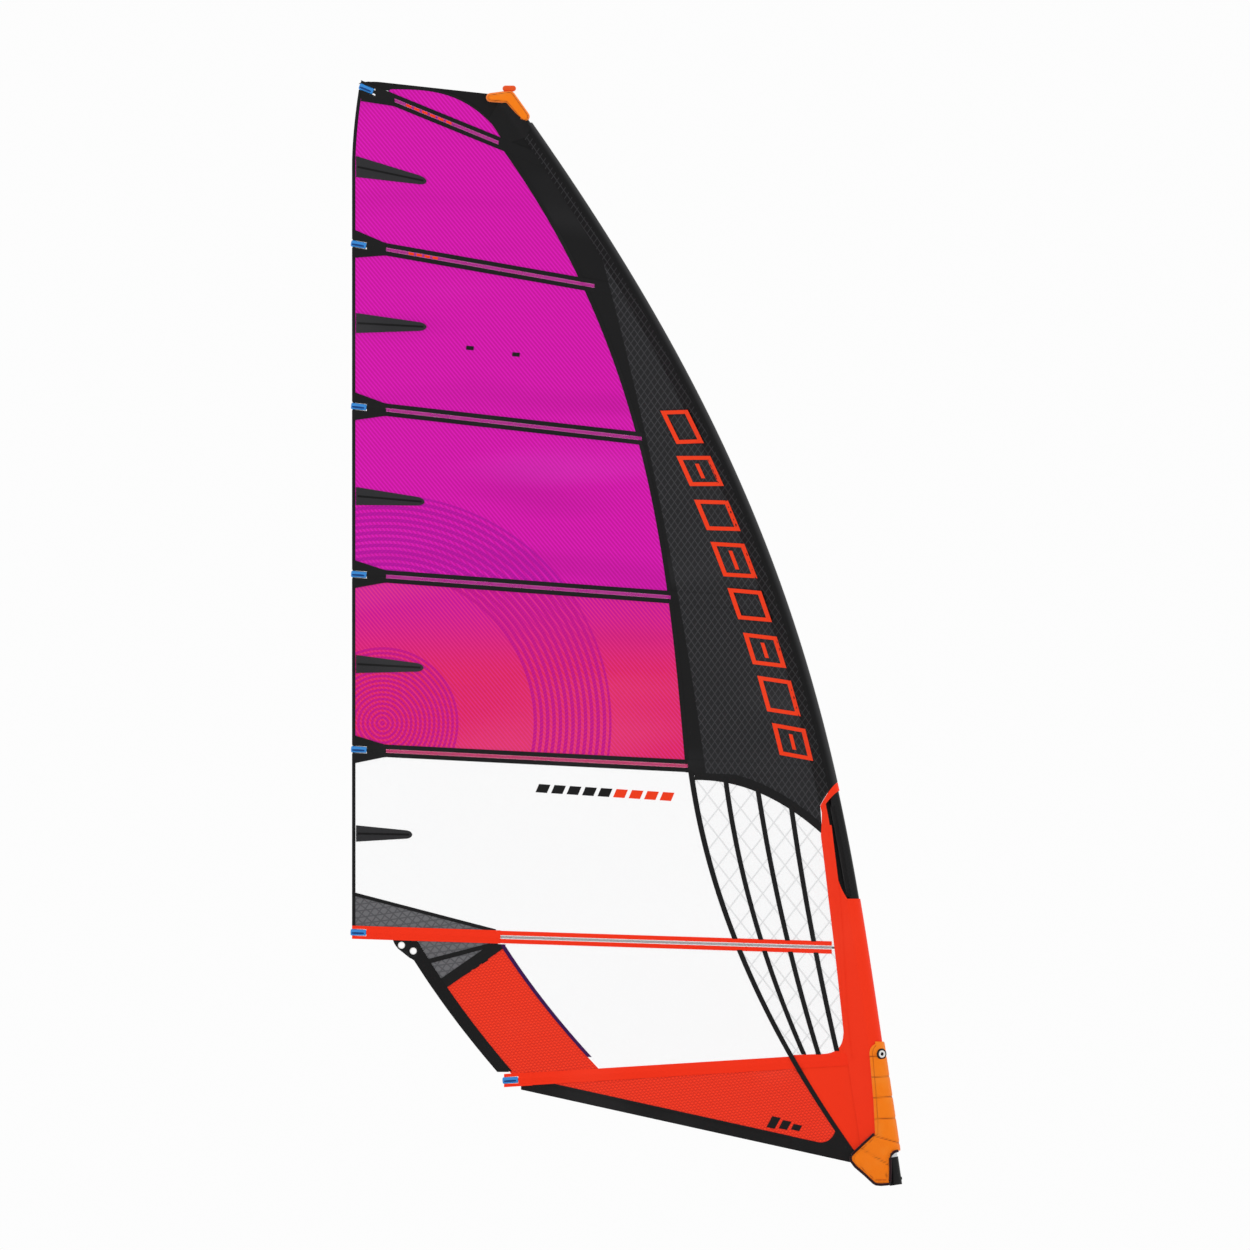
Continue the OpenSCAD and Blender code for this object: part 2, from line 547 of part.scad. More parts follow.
module side_outline(y_low, y_high) translate([0, y_high, 0]) rotate([90, 0, 0])
    linear_extrude(y_high - y_low) children();
module cap_outline() {
    hull() {
        translate([-1622, 4350]) circle(r = 18, $fn = 48);
        translate([-1548, 4352]) circle(r = 26, $fn = 48);
    }
    hull() {
        translate([-1546, 4350]) circle(r = 26, $fn = 48);
        translate([-1487, 4272]) circle(r = 22, $fn = 48);
    }
}
module head_cap() color(orange) difference() {
    side_outline(-24, 24) cap_outline();
    translate([-1800, -4, 4200]) cube([290, 19, 210]);
    on_mast(mast_top) translate([0, 0, -90]) cylinder(h = 124, r = mast_r_tip + 1.6, $fn = 64);
    translate([-1800, -40, 4100]) cube([500, 80, 156]);
}
module head_plug() color("#e24a18") side_outline(-13, 13) hull() {
    translate([-1562, 4389.5]) circle(r = 9, $fn = 32);
    translate([-1532, 4389.5]) circle(r = 9, $fn = 32);
}

// ---- Tack -----------------------------------------------------------------------------

pad_t = 7;
pad_gap = 1.6;
pad_rows = [6, 50, 94, 122, 140, 170, 205, 260, 330, 400, 470, 535, 574];
function pad_rear(z) = lookup(z, [[0, -78], [94, -177], [122, -172], [205, -92], [535, -108],
    [574, -96]]);
// A point on the pad: at a share of its depth, from its rear edge to the mast, or round the nose.
function pad_half(x, z, out) = out + max(4, min(sleeve_half(z),
    sleeve_half(z) - 24*pow(clamp((mast_x(z) - x)/125, 0, 1), 1.3)));
function pad_side(f, z, side, out) = let(x = mix(pad_rear(z), mast_x(z), f))
    [x, side*pad_half(x, z, out) + (z > 130 ? sail_y(x, z) : sail_y(x, 130)*z/130), z];
function pad_nose(a, z, out) = let(r = nose_depth(z) + out)
    [mast_x(z) + r*sin(a), -(sleeve_half(z) + out)*cos(a), z];
function pad_row(z, out) = concat([for (f = [0, 0.3, 0.6, 0.76]) pad_side(f, z, -1, out)],
    [for (a = [0:30:180]) pad_nose(a, z, out)],
    [for (f = [0.76, 0.6, 0.3, 0]) pad_side(f, z, 1, out)]);
module tack_pad() color(orange)
    shell([for (z = pad_rows) pad_row(z, pad_gap + pad_t)], [for (z = pad_rows) pad_row(z, pad_gap)],
        function(i, j) i >= 4 || j < 3 || j > 10);

eyelet_z = 524;
module tack_eyelet() color("#e6e8ea") translate([mast_x(eyelet_z), 0, eyelet_z]) rotate([0, 0, 32])
    translate([0, -sleeve_half(eyelet_z) - pad_gap - pad_t - 1.5, 0]) rotate([90, 0, 0])
    difference() {
        cylinder(h = 3, r = 15, $fn = 64);
        translate([0, 0, -1]) cylinder(h = 5, r = 7, $fn = 64);
    }

roller_x = -78;
roller_z = 100;
roller_y = 6;            // the tack's middle, on the sail's surface
module tack_block() color("#b8babd") difference() {
    for (side = [-1, 1]) side_outline(roller_y + side*11 - 1.2, roller_y + side*11 + 1.2) hull() {
        translate([roller_x, roller_z]) circle(r = 13, $fn = 48);
        translate([-98, roller_z + 5]) circle(r = 7, $fn = 48);
    }
    translate([roller_x, 20, roller_z]) rotate([90, 0, 0])
        cylinder(h = 40, r = axle_r + 0.02, $fn = 48);
}
module tack_axle() color("#9a9c9e")
    translate([roller_x, roller_y + 12.6, roller_z]) rotate([90, 0, 0])
    cylinder(h = 25.2, r = axle_r, $fn = 48);
module tack_rollers() color("#f0f0f0")
    translate([roller_x, roller_y + 9.4, roller_z]) rotate([90, 0, 0]) sheave(9.5, 18.8, axle_r + 0.06, 3);

mast_lower();
mast_upper();
mast_ferrule();
mast_tip_plug();
extension_tube();
extension_collar();
extension_base();
extension_axle();
extension_sheave();
release_button();
luff_sleeve_lower();
luff_sleeve_upper();
cutout_facing();
luff_panel();
head_band();
head_panel();
body_panel_1();
body_panel_2();
body_panel_3();
body_panel_4();
window_panel();
scrim_panel();
lower_window();
clew_panels();
leech_foot_band();
leech_foot_panel();
foot_panel();
tack_gusset();
leech_tape();
foot_tape();
seam_tapes();
batten_pockets_black();
batten_pockets_red();
batten_1();
batten_2();
batten_3();
batten_4();
batten_5();
batten_6();
batten_7();
tensioner_cap_1();
tensioner_cap_2();
tensioner_cap_3();
tensioner_cap_4();
tensioner_cap_5();
tensioner_cap_6();
tensioner_cap_7();
tensioner_screws();
mini_batten_pockets();
mini_battens();
camber_inducers();
clew_plate();
clew_eyelets();
head_cap();
head_plug();
tack_pad();
tack_eyelet();
tack_block();
tack_axle();
tack_rollers();
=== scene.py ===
"""The looks of a windsurf sail rig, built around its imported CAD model."""
import math

import bpy
import numpy as np
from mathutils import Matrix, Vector
from mathutils.geometry import delaunay_2d_cdt


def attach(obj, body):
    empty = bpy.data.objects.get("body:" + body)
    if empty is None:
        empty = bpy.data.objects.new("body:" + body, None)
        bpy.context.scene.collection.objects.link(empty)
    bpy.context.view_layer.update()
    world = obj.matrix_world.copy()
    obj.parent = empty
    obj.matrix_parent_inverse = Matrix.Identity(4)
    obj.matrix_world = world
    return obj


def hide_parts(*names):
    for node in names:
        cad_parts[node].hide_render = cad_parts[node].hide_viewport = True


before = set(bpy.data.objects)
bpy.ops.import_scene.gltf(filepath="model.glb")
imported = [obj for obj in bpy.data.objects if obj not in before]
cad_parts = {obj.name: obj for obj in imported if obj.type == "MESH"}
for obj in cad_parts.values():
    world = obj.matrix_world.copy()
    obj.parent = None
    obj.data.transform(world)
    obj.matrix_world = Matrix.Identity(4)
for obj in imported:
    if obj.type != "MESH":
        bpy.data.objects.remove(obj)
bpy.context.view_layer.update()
MM = 0.001
RIG = "rig"

# ---- Camera, light and stage -------------------------------------------------------------

VIEW_CENTRE = (-1.084, 2.24)     # x and z that the camera looks at
VIEW_SIZE = 5.0                  # metres across the frame


def make_camera():
    data = bpy.data.cameras.new("camera")
    data.type = "ORTHO"
    data.ortho_scale = VIEW_SIZE
    data.clip_end = 100
    camera = bpy.data.objects.new("camera", data)
    camera.location = (VIEW_CENTRE[0], -12, VIEW_CENTRE[1])
    camera.rotation_euler = (math.pi / 2, 0, 0)
    bpy.context.collection.objects.link(camera)
    bpy.context.scene.camera = camera


def area_light(name, place, target, size, power):
    data = bpy.data.lights.new(name, "AREA")
    data.size, data.energy = size, power
    light = bpy.data.objects.new(name, data)
    light.location = place
    aim = [t - p for t, p in zip(target, place)]
    light.rotation_euler = (
        math.atan2(math.hypot(aim[0], aim[1]), -aim[2]), 0, math.atan2(aim[0], -aim[1]))
    bpy.context.collection.objects.link(light)


def make_stage():
    world = bpy.data.worlds.new("studio")
    world.use_nodes = True
    back = world.node_tree.nodes["Background"]
    back.inputs["Color"].default_value = (1, 1, 1, 1)
    back.inputs["Strength"].default_value = 0.98
    bpy.context.scene.world = world
    bpy.context.scene.view_settings.view_transform = "Standard"
    area_light("key", (-4.5, -7, 6.5), (-1, 0, 2.2), 3.0, 45)
    area_light("rim", (4.0, 5.0, 5.0), (-1, 0, 2.2), 3.0, 45)
    bpy.ops.mesh.primitive_plane_add(size=16, location=(VIEW_CENTRE[0], 0, -0.012))
    floor = bpy.context.object
    floor.name = "floor"
    m = Shade("floor_paint", (0.9, 0.9, 0.9), rough=0.8)
    m.bump(m.noise(60), 0.02)
    floor.data.materials.append(m.mat)


# ---- Materials ---------------------------------------------------------------------------

class Shade:
    """One procedural material. Its patterns are laid out in the row's frame, in metres."""

    def __init__(self, name, colour, rough=0.5, metal=0.0, coat=0.0, sheen=0.0, alpha=1.0):
        self.mat = bpy.data.materials.new(name)
        self.mat.use_nodes = True
        self.nodes = self.mat.node_tree.nodes
        self.links = self.mat.node_tree.links
        self.bsdf = self.nodes["Principled BSDF"]
        self.set("Base Color", (*colour, 1))
        self.set("Roughness", rough)
        self.set("Metallic", metal)
        self.set("Coat Weight", coat)
        self.set("Coat Roughness", 0.15)
        self.set("Sheen Weight", sheen)
        self.set("Specular IOR Level", 0.5 if metal or coat > 0.2 else 0.12)
        self.set("Alpha", alpha)
        self.place = self.add("ShaderNodeTexCoord").outputs["Object"]

    def set(self, name, value):
        self.bsdf.inputs[name].default_value = value

    def add(self, kind, **props):
        node = self.nodes.new(kind)
        for key, value in props.items():
            setattr(node, key, value)
        return node

    def join(self, out, where, name=None):
        self.links.new(out, where.inputs[name] if name is not None else where)

    def math(self, op, a, b=0.0):
        node = self.add("ShaderNodeMath", operation=op)
        for i, v in enumerate((a, b)):
            if isinstance(v, (int, float)):
                node.inputs[i].default_value = v
            else:
                self.join(v, node.inputs[i])
        return node.outputs[0]

    def mul(self, a, b):
        return self.math("MULTIPLY", a, b)

    def minus(self, a, b):
        return self.math("SUBTRACT", a, b)

    def plus(self, a, b):
        return self.math("ADD", a, b)

    def along(self, x, y, z):
        """The distance of each point along a direction, in metres."""
        node = self.add("ShaderNodeVectorMath", operation="DOT_PRODUCT")
        self.join(self.place, node.inputs[0])
        node.inputs[1].default_value = (x, y, z)
        return node.outputs["Value"]

    def noise(self, scale, detail=2.0, stretch=(1, 1, 1)):
        size = self.add("ShaderNodeVectorMath", operation="MULTIPLY")
        self.join(self.place, size.inputs[0])
        size.inputs[1].default_value = stretch
        node = self.add("ShaderNodeTexNoise")
        self.join(size.outputs[0], node, "Vector")
        node.inputs["Scale"].default_value = scale
        node.inputs["Detail"].default_value = detail
        return node.outputs["Fac"]

    def stored(self, name):
        return self.add("ShaderNodeAttribute", attribute_name=name).outputs["Fac"]

    def ramp(self, value, low, high):
        """0 below low, 1 above high, and smooth between."""
        node = self.add("ShaderNodeMapRange", interpolation_type="SMOOTHSTEP")
        self.join(value, node, "Value")
        node.inputs["From Min"].default_value = low
        node.inputs["From Max"].default_value = high
        return node.outputs["Result"]

    def stripes(self, degrees, pitch, fill, edge):
        """Lines in the sail's plane, at this angle above +X."""
        a = math.radians(degrees + 90)
        wave = self.math("SINE", self.mul(
            self.along(math.cos(a), 0, math.sin(a)), 2 * math.pi / pitch))
        at = math.cos(math.pi * fill)
        return self.ramp(wave, at - edge, at + edge)

    def crossed(self, a, b):
        """1 where either pattern is."""
        return self.math("MAXIMUM", a, b)

    def grid(self, angles, pitch, fill):
        out = None
        for degrees in angles:
            line = self.stripes(degrees, pitch, fill, 0.1)
            out = line if out is None else self.crossed(out, line)
        return out

    def tint(self, fac, colour, share=None):
        """Mixes a colour into the base colour, by fac times share."""
        if share is not None:
            fac = self.mul(fac, share)
        mix = self.add("ShaderNodeMix", data_type="RGBA")
        base = self.bsdf.inputs["Base Color"]
        if base.is_linked:
            self.join(base.links[0].from_socket, mix.inputs[6])
        else:
            mix.inputs[6].default_value = base.default_value
        mix.inputs[7].default_value = (*colour, 1)
        self.join(fac, mix.inputs[0])
        self.join(mix.outputs[2], base)

    def cloud(self, colour, share, scale, low, high, stretch=(1, 1, 1), detail=1.0):
        """Tints where a noise is high."""
        self.tint(self.ramp(self.noise(scale, detail, stretch), low, high), colour, share)

    def bump(self, height, depth):
        """Adds a relief of this depth, in metres."""
        node = self.add("ShaderNodeBump")
        node.inputs["Distance"].default_value = depth
        node.inputs["Strength"].default_value = 0.6
        self.join(height, node, "Height")
        normal = self.bsdf.inputs["Normal"]
        if normal.is_linked:
            self.join(normal.links[0].from_socket, node, "Normal")
        self.join(node.outputs["Normal"], normal)

    def vary(self, name, fac, low, high):
        """Lets one input of the shader run from low to high with fac."""
        node = self.add("ShaderNodeMapRange")
        self.join(fac, node, "Value")
        node.inputs["To Min"].default_value = low
        node.inputs["To Max"].default_value = high
        self.join(node.outputs["Result"], self.bsdf.inputs[name])


def srgb(r, g, b):
    return tuple(((c / 255 + 0.055) / 1.055) ** 2.4 if c > 10 else c / 255 / 12.92
                 for c in (r, g, b))


def paler(colour, gain, more):
    return tuple(min(1, c * gain + more) for c in colour)


BLACK = srgb(17, 17, 18)
MAGENTA = srgb(204, 0, 158)
SUNSET = srgb(228, 32, 92)
RED = srgb(255, 54, 14)
# A film's lines, pale clouds, deep clouds and rings.
MAGENTA_TINTS = srgb(230, 20, 196), srgb(240, 70, 215), srgb(170, 0, 135), srgb(178, 0, 158)
SUNSET_TINTS = srgb(233, 44, 140), srgb(245, 84, 140), srgb(200, 16, 110), srgb(196, 0, 140)
SUNSET_TOP, SUNSET_FADE = 2.36, 0.34        # metres
RING_CENTRE = (-2.054, 1.847)
RINGS = ((0.0, 0.31, 0.0184), (0.606, 0.914, 0.0252))      # inside, outside and pitch
STRIPE_ANGLE = -50
WEAVE, WEAVE_PITCH, WEAVE_FILL = (55, -55), 0.022, 0.16


def film(name, rings=False, sunset=False):
    """Tinted film with fine slanting lines. Rings are printed around one point near the leech."""
    m = Shade(name, MAGENTA, rough=0.4, coat=0.04)
    line, pale, deep, ring = SUNSET_TINTS if sunset else MAGENTA_TINTS
    z = m.along(0, 0, 1)
    if sunset:
        m.tint(m.ramp(m.minus(SUNSET_TOP, z), 0.0, SUNSET_FADE), SUNSET)
    m.tint(m.stripes(STRIPE_ANGLE, 0.0125, 0.42, 0.5), line, 0.85)
    m.cloud(pale, 0.3, 1.6, 0.52, 0.74, (0.5, 1, 1.6))
    m.cloud(deep, 0.28, 2.1, 0.5, 0.72, (0.4, 1, 2.2))
    if rings:
        dx = m.minus(m.along(1, 0, 0), RING_CENTRE[0])
        dz = m.minus(z, RING_CENTRE[1])
        r = m.math("SQRT", m.plus(m.mul(dx, dx), m.mul(dz, dz)))
        dots = m.stripes(40, 0.011, 0.6, 0.6)
        for low, high, pitch in RINGS:
            inside = m.mul(m.ramp(r, low - 0.004, low) if low else m.ramp(r, -1, -0.5),
                           m.minus(1.0, m.ramp(r, high, high + 0.004)))
            wave = m.ramp(m.math("SINE", m.mul(r, 2 * math.pi / pitch)), -0.5, 0.2)
            m.tint(m.mul(inside, m.mul(wave, m.plus(0.62, m.mul(dots, 0.36)))), ring)
    m.bump(m.stripes(STRIPE_ANGLE, 0.0125, 0.42, 0.5), 0.0002)
    m.bump(m.noise(3, 2.0, (1, 1, 0.6)), 0.006)
    return m.mat


def clear(name, alpha, yarns=None, tint=None):
    """Clear film. Its alpha rises where it has yarns."""
    m = Shade(name, tint or srgb(250, 251, 252), rough=0.12, coat=0.15, alpha=alpha)
    if tint:
        m.tint(m.noise(12), srgb(240, 150, 225), 0.2)
    m.bump(m.noise(4, 2.0, (1, 1, 0.7)), 0.004)
    if yarns:
        lines = m.grid(yarns, 0.07, 0.03)
        m.tint(lines, srgb(168, 170, 174))
        m.vary("Alpha", lines, alpha, 0.5)
    return m.mat


def black_weave(name):
    """Black laminate. Its yarns show as fine paler lines forward of a smooth dark band."""
    m = Shade(name, srgb(20, 20, 21), rough=0.42, coat=0.03)
    x, z = m.along(1, 0, 0), m.along(0, 0, 1)
    up = m.minus(z, 2.5)
    band = m.minus(m.minus(x, -0.9), m.plus(m.mul(up, -0.19), m.mul(m.mul(up, up), -0.033)))
    woven = m.mul(m.ramp(band, 0, 0.004), m.minus(1.0, m.ramp(z, 3.835, 3.845)))
    m.tint(woven, srgb(38, 38, 40), 0.9)
    m.tint(m.mul(woven, m.mul(m.grid(WEAVE, WEAVE_PITCH, WEAVE_FILL), 0.8)), srgb(70, 70, 73))
    m.tint(m.grid([a * 0.98 for a in WEAVE], WEAVE_PITCH / 4, 0.3), BLACK, 0.35)
    m.cloud(srgb(74, 74, 77), 0.25, 1.5, 0.52, 0.76, (0.7, 1, 2.0))
    m.bump(m.grid(WEAVE, WEAVE_PITCH, WEAVE_FILL), 0.0003)
    m.bump(m.noise(5), 0.003)
    return m.mat


def smooth_black(name):
    """Plain black sleeve cloth, with a painted highlight that makes it paler along the rounded
    leading edge.
    """
    m = Shade(name, BLACK, rough=0.5, sheen=0.05)
    depth = m.stored("depth")
    # Painted highlight: paler within 30 mm of the nose, where the round sleeve over the mast
    # catches the light.
    m.tint(m.ramp(m.minus(0.03, depth), 0.0, 0.03), srgb(96, 96, 98), 0.3)
    far = m.ramp(depth, 0.040, 0.046)
    m.tint(m.mul(far, m.mul(m.grid(WEAVE, WEAVE_PITCH, WEAVE_FILL), 0.6)), srgb(58, 58, 60))
    seam = m.minus(m.mul(m.ramp(depth, 0.038, 0.046), 2.0), 1.0)
    m.tint(m.minus(1.0, m.math("ABSOLUTE", seam)), (0, 0, 0), 0.5)
    m.bump(m.stripes(0, 0.0016, 0.5, 0.6), 0.0001)
    m.bump(m.noise(9), 0.002)
    return m.mat


def cloth(name, colour, dark, pitch=0.004, rough=0.62):
    """A plain woven cloth."""
    m = Shade(name, colour, rough=rough, sheen=0.15)
    threads = m.crossed(m.stripes(0, pitch, 0.5, 0.5), m.stripes(90, pitch, 0.5, 0.5))
    m.tint(m.minus(1.0, threads), dark, 0.5)
    m.cloud(paler(colour, 1.35, 0.02), 0.22, 2.2, 0.5, 0.75)
    m.bump(threads, 0.0002)
    m.bump(m.noise(6), 0.003)
    return m.mat


def triax(name, colour, line, pitch=0.011):
    """A laminate with yarns in three directions."""
    m = Shade(name, colour, rough=0.42, coat=0.03)
    yarns = m.grid((8, 55, -38), pitch, 0.2)
    m.tint(yarns, line, 0.85)
    m.cloud(paler(colour, 1.3, 0.05), 0.35, 2.4, 0.52, 0.76, (0.6, 1, 1.6))
    m.bump(yarns, 0.0003)
    m.bump(m.noise(5), 0.003)
    return m.mat


def moulded(name, colour, rough, coat=0.1):
    """Moulded plastic with a fine grain and paler rubbed places."""
    m = Shade(name, colour, rough=rough, coat=coat)
    m.cloud(paler(colour, 1.5, 0.03), 0.25, 30, 0.55, 0.8, detail=3.0)
    m.vary("Roughness", m.noise(45), rough - 0.06, rough + 0.1)
    m.bump(m.noise(900, 1.0), 0.0001)
    return m.mat


def metal(name, colour, rough):
    m = Shade(name, colour, rough=rough, metal=1.0)
    m.vary("Roughness", m.noise(8, 3.0, (1, 1, 30)), rough - 0.08, rough + 0.14)
    m.bump(m.noise(12, 2.0, (1, 1, 40)), 0.0002)
    return m.mat


def carbon(name):
    m = Shade(name, srgb(9, 9, 10), rough=0.34, coat=0.15)
    m.tint(m.grid((45, -45), 0.012, 0.3), srgb(26, 26, 28), 0.4)
    m.bump(m.grid((45, -45), 0.012, 0.3), 0.0001)
    return m.mat


def padded_cloth(name):
    """Orange cover cloth with a fine knit, and painted shade that darkens its stitched channels."""
    m = Shade(name, srgb(255, 132, 10), rough=0.66, sheen=0.2)
    knit = m.crossed(m.stripes(35, 0.003, 0.5, 0.5), m.stripes(-35, 0.003, 0.5, 0.5))
    m.tint(m.minus(1.0, knit), srgb(232, 104, 8), 0.35)
    # Painted shade: the stored stitched channels are darkened, as the shade in their grooves.
    m.tint(m.stored("seam"), srgb(150, 66, 8), 0.9)
    m.cloud(srgb(250, 160, 60), 0.25, 14, 0.5, 0.8, detail=2.0)
    m.bump(knit, 0.0003)
    m.bump(m.noise(40), 0.0015)
    return m.mat


# ---- The sail's surface: the same formulas as the CAD source, in millimetres --------------

LEECH_X, LEECH_TAPE = 2176, 14
MAST_TOP, SLEEVE_TAIL, FILM = 4300, 4, 1.2
BEND = (15.5, -32.2, 3.3)
CHORD_Z = [0, 600, 1140, 1400, 1560, 1700, 2400, 4400]
CHORD = [150, 150, 128, 112, 90, 92, 95, 74]
CLEW = (-1955, 950)
CLEW_Y = 12


def mix(a, b, t):
    return a + (b - a) * t


def clamp(v, low, high):
    return np.minimum(high, np.maximum(low, v))


def soft(t):
    u = clamp(t, 0, 1)
    return u * u * (3 - 2 * u)


def mast_x(z):
    s = np.maximum(0, z - 450) / 1000
    return -0.147 * z + s * s * (BEND[0] + s * (BEND[1] + s * BEND[2]))


def mast_lean(z):
    return (mast_x(z + 5) - mast_x(z - 5)) / 10


def mast_r(z):
    return mix(27, 14, z / MAST_TOP)


def sleeve_half(z):
    return mast_r(z) + mix(3.6, 6, z / MAST_TOP)


def nose_depth(z):
    return sleeve_half(z) * np.sqrt(1 + mast_lean(z) ** 2)


def lead_x(z):
    return mast_x(z) + nose_depth(z)


def chord(z):
    return np.interp(z, CHORD_Z, CHORD)


def tail_x(z):
    return lead_x(z) - chord(z)


def sail_y(x, z):
    entry = mast_x(z) - mast_r(z)
    leave = np.where(z > 950, -LEECH_X, mix(-1500, -LEECH_X, z / 950))
    c = clamp((entry - x) / (entry - leave), 0, 1)
    belly = 130 * np.interp(z, [0, 600, 1200, 2000, 3000, 4000, 4400],
                            [0.35, 0.78, 1, 0.92, 0.6, 0.22, 0.12])
    fall = 110 * (np.maximum(0, z - 1000) / 3400) ** 2
    free = belly * 5.38 * c * (1 - c) ** 1.5 + fall * c * c
    near = np.exp(-((x - CLEW[0]) ** 2 + (z - CLEW[1]) ** 2) / 170 ** 2)
    return mix(free, CLEW_Y, near)


BATTEN_Z = [4407, 3766, 3116, 2444, 1743, 1011, 380]
BATTEN_SLOPE = [-0.409, -0.176, -0.113, -0.073, -0.05, -0.032, 0.0623]
BATTEN_BACK = [-2146, -2180, -2180, -2180, -2180, -2182, -1574]
CAP_LEN = 62
BATTEN_X = 2172                  # BATTEN_Z is a batten's height at x = -BATTEN_X


def line_z(k, x):
    return BATTEN_Z[k - 1] + BATTEN_SLOPE[k - 1] * (x + BATTEN_X)


def meet_z(k):
    z = line_z(k, -300)
    for _ in range(3):
        z = line_z(k, mast_x(z))
    return z


def tip_x(k):
    z = meet_z(k)
    return tail_x(line_z(k, tail_x(z))) - 8 if k <= 3 else mast_x(z) - mast_r(z) - 10


def tail_at(k):
    return float(tail_x(line_z(k, tail_x(meet_z(k)))))


def flare(k, x):
    """How much further from batten k a panel's edge runs beside the tensioner cap."""
    return 10 * clamp((BATTEN_BACK[k - 1] + CAP_LEN + 36 - x) / 30, 0, 1)


def over(k):
    return lambda x: line_z(k, x) + 8 + flare(k, x)


def under(k):
    return lambda x: line_z(k, x) - 8 - flare(k, x)


def poly(*c):
    return lambda z: sum(v * (z / 1000) ** i for i, v in enumerate(c))


def shift(line, by):
    return lambda v: line(v) + by


def level(v):
    return lambda u: v + 0 * u


def leech_in(z):
    return 30 * clamp((z - 4080) / 320, 0, 1) ** 1.7


def inner_leech(z):
    return -LEECH_X + 4 + leech_in(z)


luff_seam = poly(-543, -358, 166, -33.6)
seam_1 = poly(-88, -762, 189)
seam_2 = poly(-111, -585, 140)
seam_3 = poly(-141, -379, 71)
seam_4 = poly(-110, -279, 45)


def black_arc(x):
    return 1636 - 216 * clamp((x + 804) / 508, 0, 1.1) ** 2.1


def clew_line(x):
    return 1162 - 0.261 * (x + 2160)


def purple_line(z):
    return -1576 + 0.635 * (964 - z) + 0.00031 * (964 - z) ** 2


def leech_foot(z):
    t = (z - 444) / 480
    return -1588 - 0.742 * (z - 444) - 60 * t * (1 - t)


def red_top(x):
    return 797 + 0.63 * (x + 1808)


def foot_line(x):
    return 392 - 0.2208 * (x + 1548)


def head_line(x):
    return 4412 - 0.109 * (x + 2064) - 14 * clamp((-2064 - x) / 80, 0, 1) ** 2


def head_curve(x):
    return 4386 - 195 * clamp((x + 2040) / 470, 0, 1.2) ** 3.2


def sleeve_edge(z):
    return tail_x(z) + 6


# ---- Mesh builders -----------------------------------------------------------------------

SHARP = math.radians(38)


def add_mesh(name, points, faces, material, body=RIG, slot=None, replaces=()):
    """Makes a piece from points in millimetres, and puts it on its body. Its slot is not used."""
    mesh = bpy.data.meshes.new(name)
    mesh.from_pydata((np.asarray(points, float) * MM).tolist(), [], faces)
    mesh.update()
    mesh.shade_smooth()
    mesh.set_sharp_from_angle(angle=SHARP)
    obj = bpy.data.objects.new(name, mesh)
    bpy.context.collection.objects.link(obj)
    mesh.materials.append(material)
    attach(obj, body)
    if replaces:
        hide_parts(*replaces)
    return obj


def store(obj, name, values):
    """Keeps one value per point, for the material."""
    obj.data.attributes.new(name, "FLOAT", "POINT").data.foreach_set("value", values)


def shell_faces(n, m, keep):
    """The faces of a closed shell between two grids of n by m points."""
    keep = np.ones((n - 1, m - 1), bool) if keep is None else keep
    b = n * m
    faces = []

    def on(i, j):
        return 0 <= i < n - 1 and 0 <= j < m - 1 and keep[i, j]

    for i in range(n - 1):
        for j in range(m - 1):
            if not keep[i, j]:
                continue
            p, q, r, s = i * m + j, i * m + j + 1, (i + 1) * m + j + 1, (i + 1) * m + j
            faces += [(p, q, r, s), (p + b, s + b, r + b, q + b)]
            for near, u, v in ((on(i - 1, j), p, q), (on(i + 1, j), r, s),
                               (on(i, j - 1), s, p), (on(i, j + 1), q, r)):
                if not near:
                    faces.append((v, u, u + b, v + b))
    return faces


def drop_unused(points, faces):
    """Only the points that the faces use, the faces renumbered, and which points those are."""
    used = np.unique([v for f in faces for v in f])
    new = {int(v): i for i, v in enumerate(used)}
    return points[used], [tuple(new[v] for v in f) for f in faces], used


def shell(name, front, back, material, keep=None, **kw):
    points = np.concatenate([front.reshape(-1, 3), back.reshape(-1, 3)])
    faces = shell_faces(*front.shape[:2], keep)
    if keep is not None:
        points, faces, _ = drop_unused(points, faces)
    return add_mesh(name, points, faces, material, **kw)


def on_sail(x, z, lift=0.0):
    return np.stack([x, sail_y(x, z) - lift, z], -1)


def skin(name, x, z, lift, t, material, **kw):
    """A skin of thickness t that follows the sail at a height towards -Y."""
    return shell(name, on_sail(x, z, lift + t / 2), on_sail(x, z, lift - t / 2), material, **kw)


def panel_grid(low, high, rear, front, x_rear, x_front, step):
    cols = max(3, int((x_front - x_rear) / step))
    guess = (low((x_rear + x_front) / 2), high((x_rear + x_front) / 2))
    rows = max(3, int(abs(guess[1] - guess[0]) / step))
    v = np.linspace(0, 1, rows + 1)
    a, b = np.full(v.shape, float(x_rear)), np.full(v.shape, float(x_front))
    for _ in range(12):
        a, b = rear(mix(low(a), high(a), v)), front(mix(low(b), high(b), v))
    u = np.linspace(0, 1, cols + 1)
    x = mix(a[:, None], b[:, None], u[None, :])
    return x, mix(low(x), high(x), v[:, None])


def panel(name, low, high, rear, front, x_rear, x_front, material, replaces=(), step=20, t=FILM):
    """A sail panel between two lines and two edges."""
    x, z = panel_grid(low, high, rear, front, x_rear, x_front, step)
    obj = skin(name, x, z, 0.0, t, material, replaces=replaces)


TAPE_ACROSS = np.array([0, 0.08, 0.5, 0.92, 1])
TAPE_CROWN = np.array([-0.5, 0, 0.15, 0, -0.5])


def tape_up(name, edge, z_low, z_high, w, material, lift=3.0, t=0.8, replaces=()):
    z = np.linspace(z_low, z_high, max(3, int((z_high - z_low) / 15)))[:, None]
    skin(name, edge(z) + TAPE_ACROSS * w, z + 0 * TAPE_ACROSS, lift + TAPE_CROWN[None, :], t,
         material, replaces=replaces)


